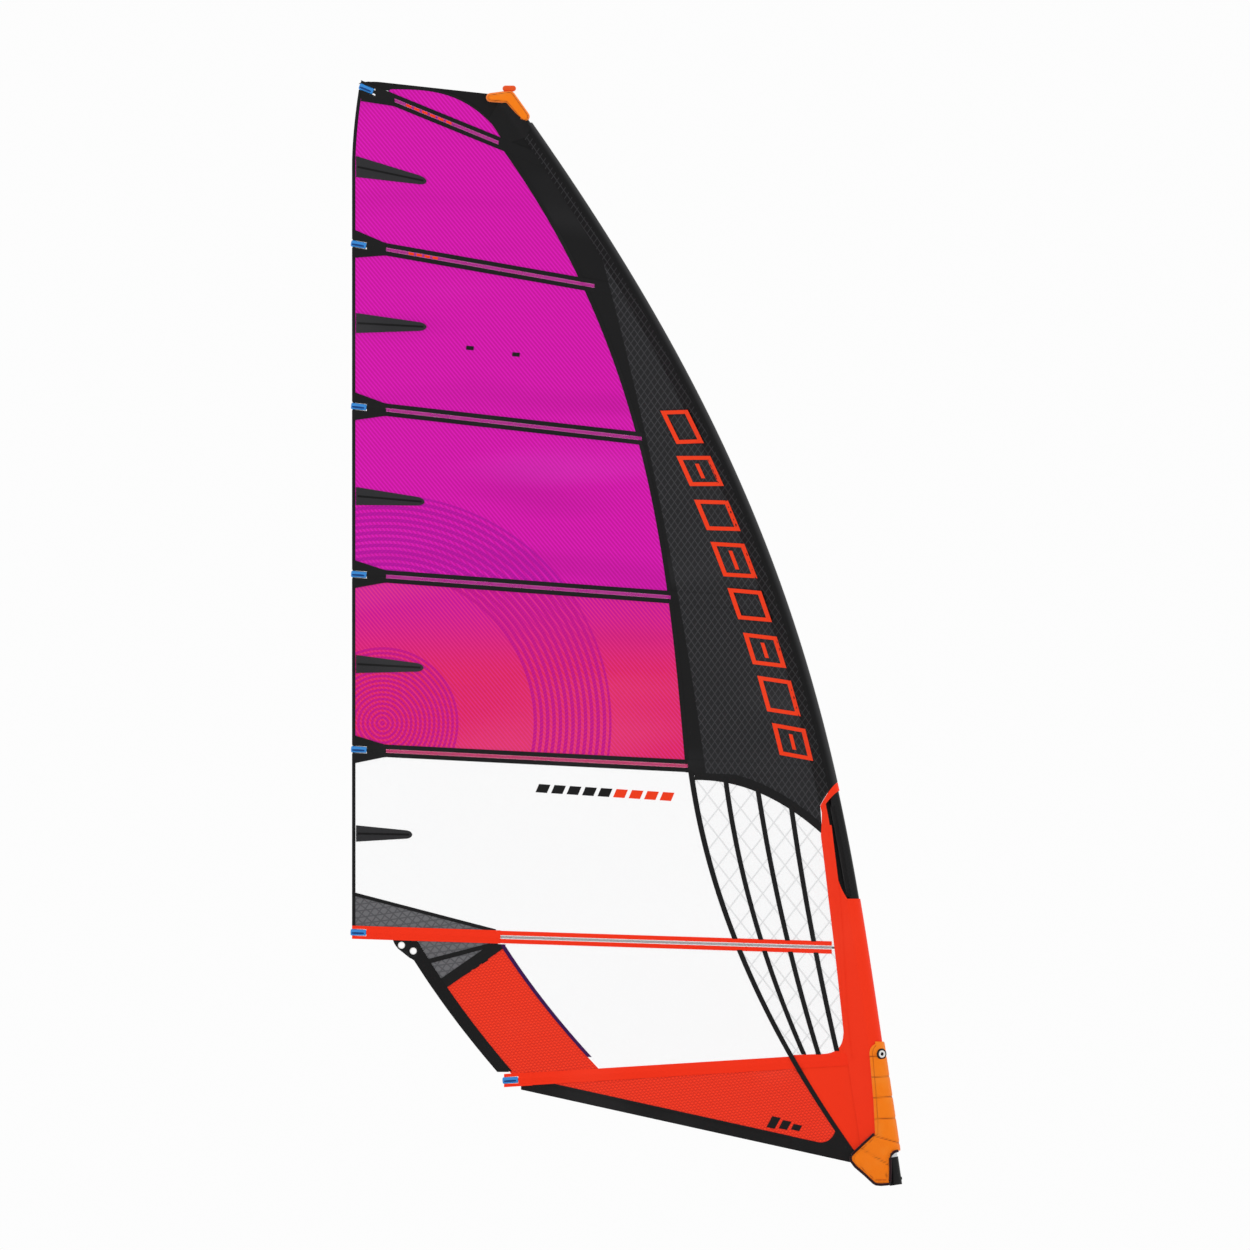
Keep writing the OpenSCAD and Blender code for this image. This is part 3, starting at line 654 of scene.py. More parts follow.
def tape_along(name, line, x_rear, x_front, w, material, lift=3.0):
    x = np.linspace(x_rear, x_front, max(3, int((x_front - x_rear) / 15)))[None, :]
    s = TAPE_ACROSS[:, None]
    skin(name, x + 0 * s, line(x) + s * w, lift + TAPE_CROWN[:, None], 0.8, material)


def ring_faces(n, m, wrap=True):
    """The faces between n rings of m points, and from the last ring to the first if they wrap."""
    return [(i * m + j, i * m + (j + 1) % m, (i + 1) % n * m + (j + 1) % m, (i + 1) % n * m + j)
            for i in range(n if wrap else n - 1) for j in range(m)]


def tube(name, rings, material, **kw):
    """A closed tube through rings of points, with its two ends filled."""
    rings = np.asarray(rings)
    n, m = rings.shape[:2]
    ends = [tuple(range(m))[::-1], tuple((n - 1) * m + j for j in range(m))]
    add_mesh(name, rings.reshape(-1, 3), ring_faces(n, m, False) + ends, material, **kw)


def hoop(name, rings, material, **kw):
    """A body through rings of points that come back to the first ring."""
    rings = np.asarray(rings)
    add_mesh(name, rings.reshape(-1, 3), ring_faces(*rings.shape[:2]), material, **kw)


def frame_of(axis):
    axis = np.asarray(axis, float) / np.linalg.norm(axis)
    side = np.cross(axis, (0, 0, 1) if abs(axis[2]) < 0.9 else (1, 0, 0))
    side /= np.linalg.norm(side)
    return side, np.cross(axis, side), axis


def lathe(name, centre, axis, profile, material, seg, **kw):
    """Turns a closed profile of (radius, height) points about an axis."""
    u, v, w = frame_of(axis)
    a = np.linspace(0, 2 * np.pi, seg, endpoint=False)
    ring = np.cos(a)[:, None] * u + np.sin(a)[:, None] * v
    hoop(name, [np.asarray(centre) + r * ring + h * w for r, h in profile], material, **kw)


# ---- Build -------------------------------------------------------------------------------

make_camera()
make_stage()

magenta = film("magenta_film")
magenta_rings = film("magenta_ring_film", rings=True)
sunset = film("sunset_film", rings=True, sunset=True)
clear_film = clear("clear_film", 0.13)
pocket_clear = clear("pocket_clear", 0.2)
pocket_tint = clear("pocket_tint", 0.5, tint=MAGENTA)
pocket_sunset = clear("pocket_sunset", 0.45, tint=srgb(232, 60, 120))
scrim_film = clear("scrim_film", 0.2, yarns=(52, -52))
weave = black_weave("black_weave")
plain_black = smooth_black("sleeve_black")
black_cloth = cloth("black_cloth", BLACK, (0.002, 0.002, 0.002))
black_tape = cloth("black_tape", srgb(20, 20, 21), (0.001, 0.001, 0.001), pitch=0.0022, rough=0.55)
inner_black = cloth("inner_black", srgb(12, 12, 13), (0.001, 0.001, 0.001))
pocket_grey = cloth("pocket_grey", srgb(44, 44, 46), srgb(30, 30, 32), pitch=0.0022, rough=0.5)
red_cloth = cloth("red_cloth", RED, srgb(214, 30, 10))
pocket_red = cloth("pocket_red", srgb(255, 50, 12), srgb(226, 32, 6), pitch=0.003)
red_triax = triax("red_triax", srgb(255, 62, 32), srgb(214, 34, 18))
grey_triax = triax("grey_laminate", srgb(108, 108, 111), srgb(82, 82, 85), pitch=0.026)
purple_tape = cloth("purple_tape", srgb(58, 14, 80), srgb(34, 6, 50), pitch=0.003)
mark_red = cloth("mark_red", srgb(250, 62, 20), srgb(224, 44, 12), pitch=0.003)
carbon_tube = carbon("carbon")
rod_mat = moulded("rod_grey", srgb(96, 98, 100), 0.3, 0.2)
aluminium = metal("aluminium", srgb(205, 207, 210), 0.34)
steel = metal("steel", srgb(190, 192, 196), 0.24)
black_plastic = moulded("black_plastic", srgb(22, 22, 23), 0.42)
white_plastic = moulded("white_plastic", srgb(232, 232, 230), 0.36)
orange_plastic = moulded("orange_plastic", srgb(232, 84, 26), 0.4)
blue_plastic = moulded("blue_plastic", srgb(0, 132, 214), 0.34, 0.3)
dark_blue = moulded("dark_blue", srgb(0, 62, 130), 0.4, 0.15)
pad_cloth = padded_cloth("pad_cloth")
plum = cloth("plum_binding", srgb(40, 12, 22), srgb(20, 4, 10), pitch=0.002)

for node, mat in (
        ("extension_collar", black_plastic), ("extension_base", black_plastic),
        ("camber_inducers", black_plastic), ("mini_battens", black_plastic),
        ("mast_ferrule", carbon_tube), ("extension_tube", aluminium), ("tack_block", aluminium),
        ("extension_axle", steel), ("tack_axle", steel), ("tensioner_screws", steel),
        ("extension_sheave", white_plastic), ("tack_rollers", white_plastic),
        ("release_button", black_plastic), ("mast_tip_plug", black_plastic)):
    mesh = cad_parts[node].data
    for i in range(max(1, len(mesh.materials))):
        if len(mesh.materials):
            mesh.materials[i] = mat
        else:
            mesh.materials.append(mat)
for k in range(1, 8):
    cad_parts[f"batten_{k}"].data.materials[0] = rod_mat


# Body panels: magenta film, with the lowest graded to pink-red.
for k, mat in ((1, magenta), (2, magenta), (3, magenta_rings), (4, sunset)):
    panel(f"film_panel_{k}", over(k + 1), under(k), inner_leech, shift(luff_seam, -0.5), -2161,
          float(luff_seam(BATTEN_Z[k] + 200)), mat,
          [f"body_panel_{k}"])
panel("head_film", over(1), head_curve, level(-2030), level(-1580), -2030, -1580, magenta,
      ["head_panel"], step=12)
panel("head_edge_band", lambda x: np.maximum(over(1)(x), head_curve(x) + 3), head_line,
      level(-2122), sleeve_edge, -2122, -1520, black_cloth, ["head_band"], step=12)

# Luff panels: one sewn luff of five cuts between the battens.
LUFF = [(over(5), under(4), 2000), (over(4), under(3), 2700), (over(3), under(2), 3350),
        (over(2), under(1), 3900)]
panel("luff_cut_0", shift(black_arc, 2), under(5), level(-812), sleeve_edge, -812, -310, weave,
      ["luff_panel"])
for i, (low, high, z) in enumerate(LUFF):
    panel(f"luff_cut_{i + 1}", low, high, luff_seam, sleeve_edge, float(luff_seam(z)),
          float(sleeve_edge(z)), weave)

# Windows and lower panels.
panel("window", lambda x: np.maximum(over(6)(x), clew_line(x)), under(5), inner_leech,
      shift(seam_1, 10), -2161, float(seam_1(1300)), clear_film, ["window_panel"])
scrim_rear = shift(seam_1, 12)
panel("scrim_high", over(6), black_arc, scrim_rear, sleeve_edge, -760, -270, scrim_film,
      ["scrim_panel"])
panel("scrim_low", over(7), under(6), scrim_rear, sleeve_edge, -560, -230, scrim_film)
panel("window_low", over(7), under(6), purple_line, shift(seam_1, 10), -1400, -540, clear_film,
      ["lower_window"])
panel("clew_upper", over(6), shift(clew_line, -2), inner_leech, level(-1580), -2161, -1580,
      grey_triax, ["clew_panels"])
panel("clew_lower", shift(red_top, 2), under(6), shift(leech_foot, 62), level(-1592), -1880,
      -1592, grey_triax)
panel("leech_foot_edge", level(452), level(902), leech_foot, shift(leech_foot, 48), -1760, -1712,
      black_cloth, ["leech_foot_band"])
panel("leech_foot_film", over(7), lambda x: np.minimum(under(6)(x), red_top(x)),
      shift(leech_foot, 50), shift(purple_line, -7), -1640, -1330, red_triax,
      ["leech_foot_panel"])
panel("foot_film", shift(foot_line, 50), under(7), level(-1430), shift(seam_1, 10), -1430, -360,
      red_triax, ["foot_panel"])
panel("tack_film", level(118), lambda x: line_z(7, x) + 4, scrim_rear, sleeve_edge, -300, -180,
      red_cloth, ["tack_gusset"])
panel("foot_edge", foot_line, lambda x: np.minimum(foot_line(x) + 48, under(7)(x)), level(-1500),
      level(-182), -1500, -182, black_tape, ["foot_tape"], t=1.8)

# Leech tape, seam tapes and the two coloured tapes.
for k in range(1, 6):
    low = line_z(k + 1, -LEECH_X) + 17
    high = line_z(k, -LEECH_X) - 17 - (10 if k == 1 else 0)
    tape_up(f"leech_edge_{k}", lambda z: -LEECH_X + leech_in(z), low, high, LEECH_TAPE,
            black_tape, 0, 1.8, replaces=["leech_tape"] if k == 1 else ())
Z6, Z7 = line_z(6, -650), line_z(7, -420)      # where the first seam meets two battens
for name, low, high, lift in (("foot", 128, Z7 - 25, 3.0), ("over", Z7 - 36, Z7 + 36, 8),
                              ("low", Z7 + 25, Z6 - 22, 3.0), ("high", Z6 + 22, 1662, 3.0)):
    tape_up(f"seam_1_{name}", seam_1, low, high, 22, black_tape, lift,
            replaces=["seam_tapes"] if name == "foot" else ())
for i, (seam, x, low, high) in enumerate(((seam_2, -550, 522, 1632), (seam_3, -440, 522, 1588),
                                          (seam_4, -330, 536, 1518))):
    tape_up(f"seam_{i + 2}_low", seam, low, line_z(6, x) - 22, 20, black_tape)
    tape_up(f"seam_{i + 2}_high", seam, line_z(6, x) + 22, high, 20, black_tape)
tape_along("arc_tape", shift(black_arc, -16), -806, -290, 40, black_tape, lift=2.2)
tape_along("clew_tape", shift(clew_line, -7), -2164, -1600, 14, black_tape)
tape_up("purple_edge", shift(purple_line, -9), 512, 962, 18, purple_tape)

# ---- Sleeve and mast ---------------------------------------------------------------------

CUT_LOW, CUT_HIGH, RED_HIGH = 1145, 1577, 1610
FOOT_Z, JOINT_Z = 190, 2150
WALL, MAST_WALL = 1.2, 3.5


def sleeve_y(d, z):
    n, h = nose_depth(z), sleeve_half(z)
    front = h * np.sqrt(np.maximum(0, 1 - (1 - np.minimum(d / n, 1)) ** 2))
    back = h - (h - SLEEVE_TAIL) * clamp((d - n) / (chord(z) - n), 0, 1) ** 1.3
    return np.where(d < n, front, back)


def cut_depth(z):
    return 76 - 24 * clamp((1240 - z) / 95, 0, 1) ** 2 - 9 * soft((z - 1240) / 290)


def nose_slant(z, d, low_side):
    rise = 53 * clamp((z - 1400) / 177, 0, 1.19) if low_side else 63 * clamp((1820 - z) / 208, 0, 1)
    return (d / 67) ** 1.3 * rise


def sleeve_grid(z, low_side):
    """The sleeve's outside and inside, round its nose from one tail to the other."""
    c, w = cut_depth(z), chord(z)
    steps = [0, 0.7, 2.5, 5.5, 10, 16, 23]
    cols = [0 * z + v for v in steps] + [mix(30, c, f) for f in (0.0, 0.25, 0.5, 0.75, 0.9, 1)]
    cols += [mix(c, w, f) for f in (0.12, 0.3, 0.55, 0.8, 0.97, 1)]
    d = np.stack(cols, 1)
    d = np.concatenate([d[:, :0:-1], d], 1)
    side = np.concatenate([-np.ones(len(cols) - 1), np.ones(len(cols))])[None, :]
    zz = z[:, None] - nose_slant(z[:, None], d, low_side)
    n = nose_depth(zz)
    x = lead_x(zz) - d
    grids = []
    for inset in (0, WALL):
        half = np.maximum(0, sleeve_y(d, zz) - inset * np.minimum(1, d / n + 0.15))
        y = sail_y(x, zz) + side * half
        grids.append(np.stack([x - inset * np.maximum(0, 1 - d / n), y, zz], -1))
    return grids[0], grids[1], d


HALF = 18        # sleeve columns from the nose to the tail
CUT_COL = 12     # the column on the cut-out's edge


def sleeve(name, z, material, replaces, low_side, keep=None):
    """Sews a sleeve. A whole one stores how far its points lie behind the nose, in metres."""
    front, back, d = sleeve_grid(z, low_side)
    obj = shell(name, front, back, material, keep, replaces=replaces)
    if keep is None:
        store(obj, "depth", np.concatenate([d.ravel(), d.ravel()]) * MM)


lower_z = np.unique(np.concatenate([np.arange(132, CUT_LOW, 20), np.arange(CUT_LOW, CUT_HIGH, 12),
                                    [CUT_HIGH, 1594, RED_HIGH]]).astype(float))
rows = (lower_z[:-1] < CUT_LOW) | (lower_z[:-1] >= CUT_HIGH)
cols = np.abs(np.arange(2 * HALF) - HALF + 0.5) > CUT_COL
sleeve("sleeve_lower", lower_z, red_cloth, ["luff_sleeve_lower"], True,
       rows[:, None] | cols[None, :])
upper_z = np.concatenate([np.arange(RED_HIGH + 1.2, 4240, 22), [4250]])
sleeve("sleeve_upper", upper_z, plain_black, ["luff_sleeve_upper"], False)


def mast(name, z_low, z_high, replaces):
    z = np.arange(z_low, z_high + 1, (z_high - z_low) / max(8, int((z_high - z_low) / 40)))
    a = np.linspace(0, 2 * np.pi, 48, endpoint=False)[None, :]
    slope = np.arctan(mast_lean(z))[:, None]
    rings = []
    for wall in (0, -MAST_WALL):
        r = mast_r(z)[:, None] + wall
        rings.append(np.stack([mast_x(z)[:, None] + r * np.cos(a) * np.cos(slope),
                               r * np.sin(a), z[:, None] - r * np.cos(a) * np.sin(slope)], -1))
    hoop(name, np.concatenate([rings[0], rings[1][::-1]]), carbon_tube, replaces=replaces)


mast("mast_tube_lower", FOOT_Z, JOINT_Z - 0.5, ["mast_lower"])
mast("mast_tube_upper", JOINT_Z + 0.5, MAST_TOP, ["mast_upper"])


def facing(z, push):
    a = np.radians(np.arange(-72, 73, 9))[None, :]
    r = mast_r(z)[:, None] + 1 + push
    return np.stack([mast_x(z)[:, None] - r * np.cos(a), r * np.sin(a), z[:, None] + 0 * a], -1)


face_z = np.linspace(CUT_LOW + 6, CUT_HIGH - 64, 24)
shell("facing", facing(face_z, 0), facing(face_z, 1.2), inner_black,
      replaces=["cutout_facing"])

# ---- Battens and their pockets -----------------------------------------------------------

ROD_R, ROD_FLAT, ROD_BACK = 5, 1.6, 34
POCKET_W, POCKET_LIFT = 50, 2.4
CAP_ROOM = 13.6                # half height of the opening round a tensioner cap
PATCH_HALF, PATCH_NECK, PATCH_FLARE = 26.5, 25.5, 58       # half heights of the end patches


def rod_half(k, x):
    a = BATTEN_BACK[k - 1] + ROD_BACK
    return mix(ROD_R, ROD_FLAT, soft((x - a) / (tip_x(k) - a - 60)))


def pocket_strip(name, k, x, across, lifts, side, material, t=1.0, **kw):
    """A strip along batten k. across and lifts give its section, in millimetres."""
    x = np.asarray(x, float)[None, :]
    w = np.asarray(across, float)
    w = w[:, None] if w.ndim == 1 else w
    lift = np.asarray(lifts(x, w))
    skin(name, x + 0 * w, line_z(k, x) + w, side * lift, t, material, **kw)


def hump(k):
    """The pocket's section: taut over the rod and down to its sewn edges."""
    def lifts(x, w):
        h = rod_half(k, x) + POCKET_LIFT
        return mix(h, POCKET_LIFT, clamp(np.abs(w) / (POCKET_W / 2), 0, 1) ** 0.8)
    return lifts


def see_through(k):
    """Where the pocket's clear middle ends: at the luff's seam, or at the sleeve."""
    if k >= 6:
        return tail_at(k) + (4 if k == 7 else -10)
    seam = seam_1 if k == 5 else luff_seam
    return float(seam(line_z(k, -700 if k > 1 else -1400))) - (0 if k > 1 else 60)


def pocket(k):
    a, b = BATTEN_BACK[k - 1] + CAP_LEN + 4, tail_at(k) - (32 if k == 1 else 24)
    end = see_through(k)
    x = np.linspace(a, end, max(6, int((end - a) / 20)))
    b = max(b, tail_at(k) + 4)
    red = k >= 6
    node = ["batten_pockets_red"] if k == 6 else ["batten_pockets_black"] if k == 1 else ()
    slot = "red_cloth" if red else "black_cloth"
    cloth_mat = pocket_red if red else black_tape
    edge, inner = POCKET_W / 2, 9
    for side, tag in ((1, "near"), (-1, "far")):
        first = node if side == 1 else ()
        if k == 7:
            pocket_strip(f"pocket_7_{tag}", k, x, np.linspace(-edge, edge, 11), hump(k), side,
                         cloth_mat, slot=slot)
            continue
        for s, where in ((1, "top"), (-1, "bottom")):
            w = np.sort(s * np.array([inner - 1.5, inner, (inner + edge) / 2, edge - 1, edge]))
            pocket_strip(f"pocket_{k}_{tag}_{where}", k, x, w, hump(k), side, cloth_mat,
                         slot=slot, replaces=first if s == 1 else ())
        pocket_strip(f"pocket_{k}_{tag}_film", k, x[1:], np.linspace(-inner + 1, inner - 1, 7),
                     hump(k), side, pocket_clear if k == 6 else pocket_tint if k < 5
                     else pocket_sunset, 0.6)
        if b > end + 30:
            pocket_strip(f"pocket_{k}_{tag}_luff", k, np.linspace(end, b, int((b - end) / 20) + 2),
                         np.linspace(-edge, edge, 9), hump(k), side, weave)
    # The patch flares out to the leech, and the tensioner cap lies in its opening.
    back = BATTEN_BACK[k - 1]
    p0 = back + 6
    p1 = {6: -1582, 7: back + 120}.get(k, back + 140)
    px = np.concatenate([np.linspace(p0, back + CAP_LEN + 1, 8),
                         np.linspace(back + CAP_LEN + 20, p1, 28 if k == 6 else 7)])
    half = np.full(px.shape, PATCH_HALF) if k >= 6 else np.maximum(
        PATCH_NECK, PATCH_FLARE - 33 * (px - p0) / 130)
    share = np.array([-1, -0.8, -0.6, -0.4, -0.2, 0, 0.2, 0.4, 0.6, 0.8, 1])
    w = share[:, None] * half[None, :]
    if k == 1:
        w = np.where(share[:, None] > 0, share[:, None] * np.minimum(half, PATCH_NECK)[None, :], w)
    rows = np.sign(share) * np.where(np.abs(share) < 0.1, 0, np.where(
        np.abs(share) < 0.3, 6.0, np.where(np.abs(share) < 0.5, CAP_ROOM, 0)))
    fixed = (np.abs(share) < 0.5)[:, None]
    w = np.where(fixed, rows[:, None] + 0 * w, w)
    reach = np.where(share[:, None] > 0, np.abs(w[-1])[None, :], np.abs(w[0])[None, :])
    w = np.where((np.abs(share) > 0.5)[:, None], np.sign(share)[:, None] * (
        CAP_ROOM + (np.abs(share)[:, None] - 0.4) / 0.6 * (reach - CAP_ROOM)), w)
    keep = np.ones((len(share) - 1, len(px) - 1), bool)
    keep[3:7, :7] = False
    lift = hump(k)(px[None, :], w) + 1.0
    for side, tag in ((1, "near"), (-1, "far")):
        skin(f"patch_{k}_{tag}", px[None, :] + 0 * w, line_z(k, px)[None, :] + w, side * lift, 0.8,
             cloth_mat, keep=keep, slot=slot)


for k in range(1, 8):
    pocket(k)

MINI_X = 2160                   # a short pocket's first height is at x = -MINI_X
# Each short pocket: its height at the leech, its slope, its inner end and its height there.
MINI = [(4074, -0.21, -1892, 84), (3448, -0.055, -1892, 80), (2756, -0.085, -1900, 72),
        (2084, -0.055, -1904, 72), (1406, -0.02, -1949, 66)]
for i, (z0, slope, end, tall) in enumerate(MINI):
    a, b = -LEECH_X + LEECH_TAPE + 2, end + 14
    s = np.concatenate([np.linspace(0, 0.9, 10),
                        0.9 + 0.1 * np.sin(np.linspace(0.2, 1, 7) * np.pi / 2)])
    x = mix(a, b, s)
    half = mix(tall / 2, 15, s) * np.sqrt(np.maximum(0.03, 1 - clamp((s - 0.9) / 0.1, 0, 1) ** 2))
    w = np.linspace(-1, 1, 9)[:, None]
    xx = x[None, :] + 0 * w
    line = z0 + slope * (xx + MINI_X)
    lift = 2.6 + 3.2 * (1 - np.abs(w) ** 1.5) * (1 - 0.3 * s[None, :])
    skin(f"mini_pocket_{i + 1}", xx, line + w * half[None, :], lift, 1, pocket_grey,
         replaces=["mini_batten_pockets"] if i == 0 else ())
    rib = np.linspace(-1, 1, 5)[:, None]
    x = np.linspace(a + 6, end + 2, 14)[None, :] + 0 * rib
    line = z0 + slope * (x + MINI_X)
    ridge = 6.0 + 1.4 * (1 - rib ** 2) - 1.4 * (x - a) / (end - a)
    skin(f"mini_ridge_{i + 1}", x, line + rib * 4, ridge, 1, inner_black)

# ---- Tensioner caps ----------------------------------------------------------------------

def batten_frame(k):
    x = BATTEN_BACK[k - 1]
    far = x + 90
    here = np.array([x, float(sail_y(x, line_z(k, x))), line_z(k, x)])
    run = np.array([far, float(sail_y(far, line_z(k, far))), line_z(k, far)]) - here
    flat = math.hypot(run[0], run[1])
    u = run / np.linalg.norm(run)
    v = np.array([-run[1], run[0], 0]) / flat
    return here, u, v, np.cross(u, v)


def superellipse(m, power=3.2):
    a = np.linspace(0, 2 * np.pi, m, endpoint=False)
    c, s = np.cos(a), np.sin(a)
    return np.sign(c) * np.abs(c) ** (2 / power), np.sign(s) * np.abs(s) ** (2 / power)


def cap(k):
    """A moulded tensioner: a rounded body with a waist, a stepped collar and a mouth."""
    here, u, v, w = batten_frame(k)
    cy, cz = superellipse(40)
    # Along the cap: position, half thickness, half height.
    outside = [(0.2, 4.2, 5.0), (0.5, 5.4, 7.5), (1.8, 6.4, 9.2), (5, 7.0, 10.6), (12, 7.0, 11),
               (20, 6.7, 10.8), (30, 6.6, 10.7), (42, 6.7, 10.8), (46, 7.0, 11), (50, 7.0, 11),
               (51, 6.7, 10.6), (55, 6.7, 10.6), (56, 7.0, 11), (61, 7.0, 10.8), (62, 6.6, 10.4)]
    inside = [(62, 6.1, 7.6), (34, 6.0, 7.4), (33.4, 3.4, 3.4), (0.4, 3.3, 3.3)]
    rings = ([here + u * s + np.outer(cy * ty, v) + np.outer(cz * tz * (1.25 - s / 620), w)
              for s, ty, tz in outside]
             + [here + u * s + np.outer(cy * ty, v) + np.outer(cz * tz, w) for s, ty, tz in inside])
    body = f"tensioner_cap_{k}"
    hoop(f"cap_{k}", rings, blue_plastic, body=body, replaces=[body])
    # The darker latch that lies in the cap's upper face.
    cy, cz = superellipse(28, 4)
    for side in (-1, 1):
        plate = [here + u * (29 + a * cy[:, None]) + w * (b * cz[:, None] - 3) + v * side * h
                 for h, a, b in ((6.0, 25, 3.8), (7.1, 25, 3.8), (7.5, 24, 3.0))]
        tube(f"latch_{k}_{'far' if side > 0 else 'near'}", plate if side < 0 else plate[::-1],
             dark_blue, body=body)
    # The black sleeve between the cap and the pocket, round the rod.
    cy, cz = superellipse(32, 2.6)
    tube(f"rod_sleeve_{k}", [here + u * s + np.outer(cy * a, v) + np.outer(cz * b, w)
                             for s, a, b in ((58, 5.6, 6.2), (60, 6.0, 6.8), (70, 6.0, 6.8),
                                             (78, 5.9, 6.6), (80, 5.4, 5.8))],
         black_plastic)


for k in range(1, 8):
    cap(k)

# ---- Clew --------------------------------------------------------------------------------

EYELETS = [(-1978, 959), (-1931, 936)]
EYELET_R = 11


def disc_outline(circles, y, seg):
    """The outline of the hull of some circles, as points on the plane y."""
    a = np.linspace(0, 2 * np.pi, seg, endpoint=False)
    reach = np.stack([x * np.cos(a) + z * np.sin(a) + r for x, z, r in circles])
    x, z, r = np.array(circles, float)[np.argmax(reach, 0)].T
    x, z = x + r * np.cos(a), z + r * np.sin(a)
    return np.stack([x, np.full(seg, float(y)), z], 1)


# Each eyelet is a rolled steel ring in a black moulding, with the plate between two patches.
plate = [(*EYELETS[0], 19.5), (*EYELETS[1], 19.5), (-1935, 924, 19)]


def plate_with_holes():
    """Fills the outline around its two holes through a fan from each hole to its own half."""
    seg = 96
    first, second = np.array(EYELETS, float)
    mid = (first + second) / 2
    ax = (second - first) / np.linalg.norm(second - first)
    a = np.linspace(0, 2 * np.pi, seg, endpoint=False)
    rays = np.stack([np.cos(a), np.sin(a)], 1)
    p = disc_outline(plate, 0, seg=360)[:, [0, 2]]
    q = np.roll(p, -1, 0)
    for e, (ex, ez) in enumerate(EYELETS):
        side = 1 if e == 0 else -1
        gap = side * ((mid - (ex, ez)) @ ax)
        diff = p - (ex, ez)
        # Each ray runs from the hole to the outline or to the line between the two holes.
        reach = np.full(seg, 200.0)
        for i, d in enumerate(rays):
            m = np.cross(q - p, d)
            m = np.where(np.abs(m) < 1e-9, 1e-9, m)
            t = np.cross(diff, q - p) / -m
            s = np.cross(diff, d) / -m
            ok = (s >= -1e-6) & (s <= 1 + 1e-6) & (t > 0)
            if ok.any():
                reach[i] = min(reach[i], t[ok].min())
            toward = side * (d @ ax)
            if toward > 1e-6:
                reach[i] = min(reach[i], gap / toward)
        rings = []
        for share, y in ((0, -2.5), (0.5, -3.0), (1, -2.5), (1, 2.5), (0.5, 3.0), (0, 2.5)):
            r = mix(EYELET_R + 3, reach, share)
            rings.append(np.stack([ex + r * rays[:, 0], np.full(seg, CLEW_Y + y),
                                   ez + r * rays[:, 1]], 1))
        hoop(f"clew_plate_{e + 1}", rings, black_plastic,
             replaces=["clew_plate"] if e == 0 else ())


plate_with_holes()
for i, (x, z) in enumerate(EYELETS):
    r = EYELET_R
    lip = [(r, 3.2), (r + 0.3, 4), (r + 1, 4.5), (r + 2, 4.5), (r + 2.7, 4), (r + 2.9, 3.2)]
    profile = [(q, -h) for q, h in lip] + lip[::-1]
    lathe(f"eyelet_{i + 1}", (x, CLEW_Y, z), (0, -1, 0), profile, white_plastic, 64,
          slot="steel", replaces=["clew_eyelets"] if i == 0 else ())

# ---- Cut shapes: flat outlines laid on the sail ------------------------------------------

def within(outline, pts):
    a = np.asarray(outline, float)
    b = np.roll(a, -1, 0)
    x, z = pts[:, 0][:, None], pts[:, 1][:, None]
    up = (a[:, 1] > z) != (b[:, 1] > z)
    dz = np.where(b[:, 1] == a[:, 1], 1e-9, b[:, 1] - a[:, 1])
    cross = (b[:, 0] - a[:, 0]) * (z - a[:, 1]) / dz + a[:, 0]
    return (up & (x < cross)).sum(1) % 2 == 1


def edge_distance(outline, pts):
    a = np.asarray(outline, float)
    d = np.roll(a, -1, 0) - a
    rel = pts[:, None, :] - a[None]
    t = clamp((rel * d).sum(-1) / np.maximum((d * d).sum(-1), 1e-9), 0, 1)
    return np.linalg.norm(rel - t[..., None] * d, axis=-1).min(1)


def resample(outline, step):
    out = []
    a = [np.asarray(p, float) for p in outline]
    for p, q in zip(a, a[1:] + a[:1]):
        n = max(1, int(np.linalg.norm(q - p) / step))
        out += [p + (q - p) * i / n for i in range(n)]
    return np.array(out)


def circle(x, z, r):
    t = np.linspace(0, 2 * np.pi, 40, endpoint=False)
    return np.stack([x + r * np.cos(t), z + r * np.sin(t)], 1)


def triangulate(outline, holes, step):
    loops = [resample(outline, step)] + [np.asarray(h, float) for h in holes]
    lo, hi = loops[0].min(0), loops[0].max(0)
    gx, gz = np.meshgrid(np.arange(lo[0] + step / 2, hi[0], step),
                         np.arange(lo[1] + step / 2, hi[1], step))
    pts = np.stack([gx.ravel(), gz.ravel()], 1)
    if len(pts):
        ok = within(loops[0], pts) & (edge_distance(loops[0], pts) > step * 0.45)
        for h in loops[1:]:
            ok &= ~within(h, pts) & (edge_distance(h, pts) > step * 0.35)
        pts = pts[ok]
    edges, start = [], 0
    for loop in loops:
        n = len(loop)
        edges += [(start + i, start + (i + 1) % n) for i in range(n)]
        start += n
    everything = np.concatenate(loops + [pts]) if len(pts) else np.concatenate(loops)
    verts, _, faces, *_ = delaunay_2d_cdt([Vector(v) for v in everything], edges, [], 0, 1e-4)
    verts = np.array([tuple(v) for v in verts])
    mid = np.array([verts[list(f)].mean(0) for f in faces])
    ok = within(loops[0], mid)
    for h in loops[1:]:
        ok &= ~within(h, mid)
    return verts, [tuple(f) for f, k in zip(faces, ok) if k], loops[0]


def closed(name, near, far, faces, material, **kw):
    """A closed shell between two triangulated surfaces of the same layout."""
    n = len(near)
    count = {}
    for f in faces:
        for e in zip(f, f[1:] + f[:1]):
            count[e] = count.get(e, 0) + 1
    walls = [(b, a, a + n, b + n) for (a, b) in count if (b, a) not in count]
    behind = [tuple(v + n for v in f[::-1]) for f in faces]
    return add_mesh(name, np.concatenate([near, far]), list(faces) + behind + walls, material,
                    **kw)


def outer_y(x, z):
    """How far the rig's skin stands off the sail's middle surface."""
    d = lead_x(z) - x
    return np.where(d < chord(z), sleeve_y(clamp(d, 0, 400), z), 0.6)


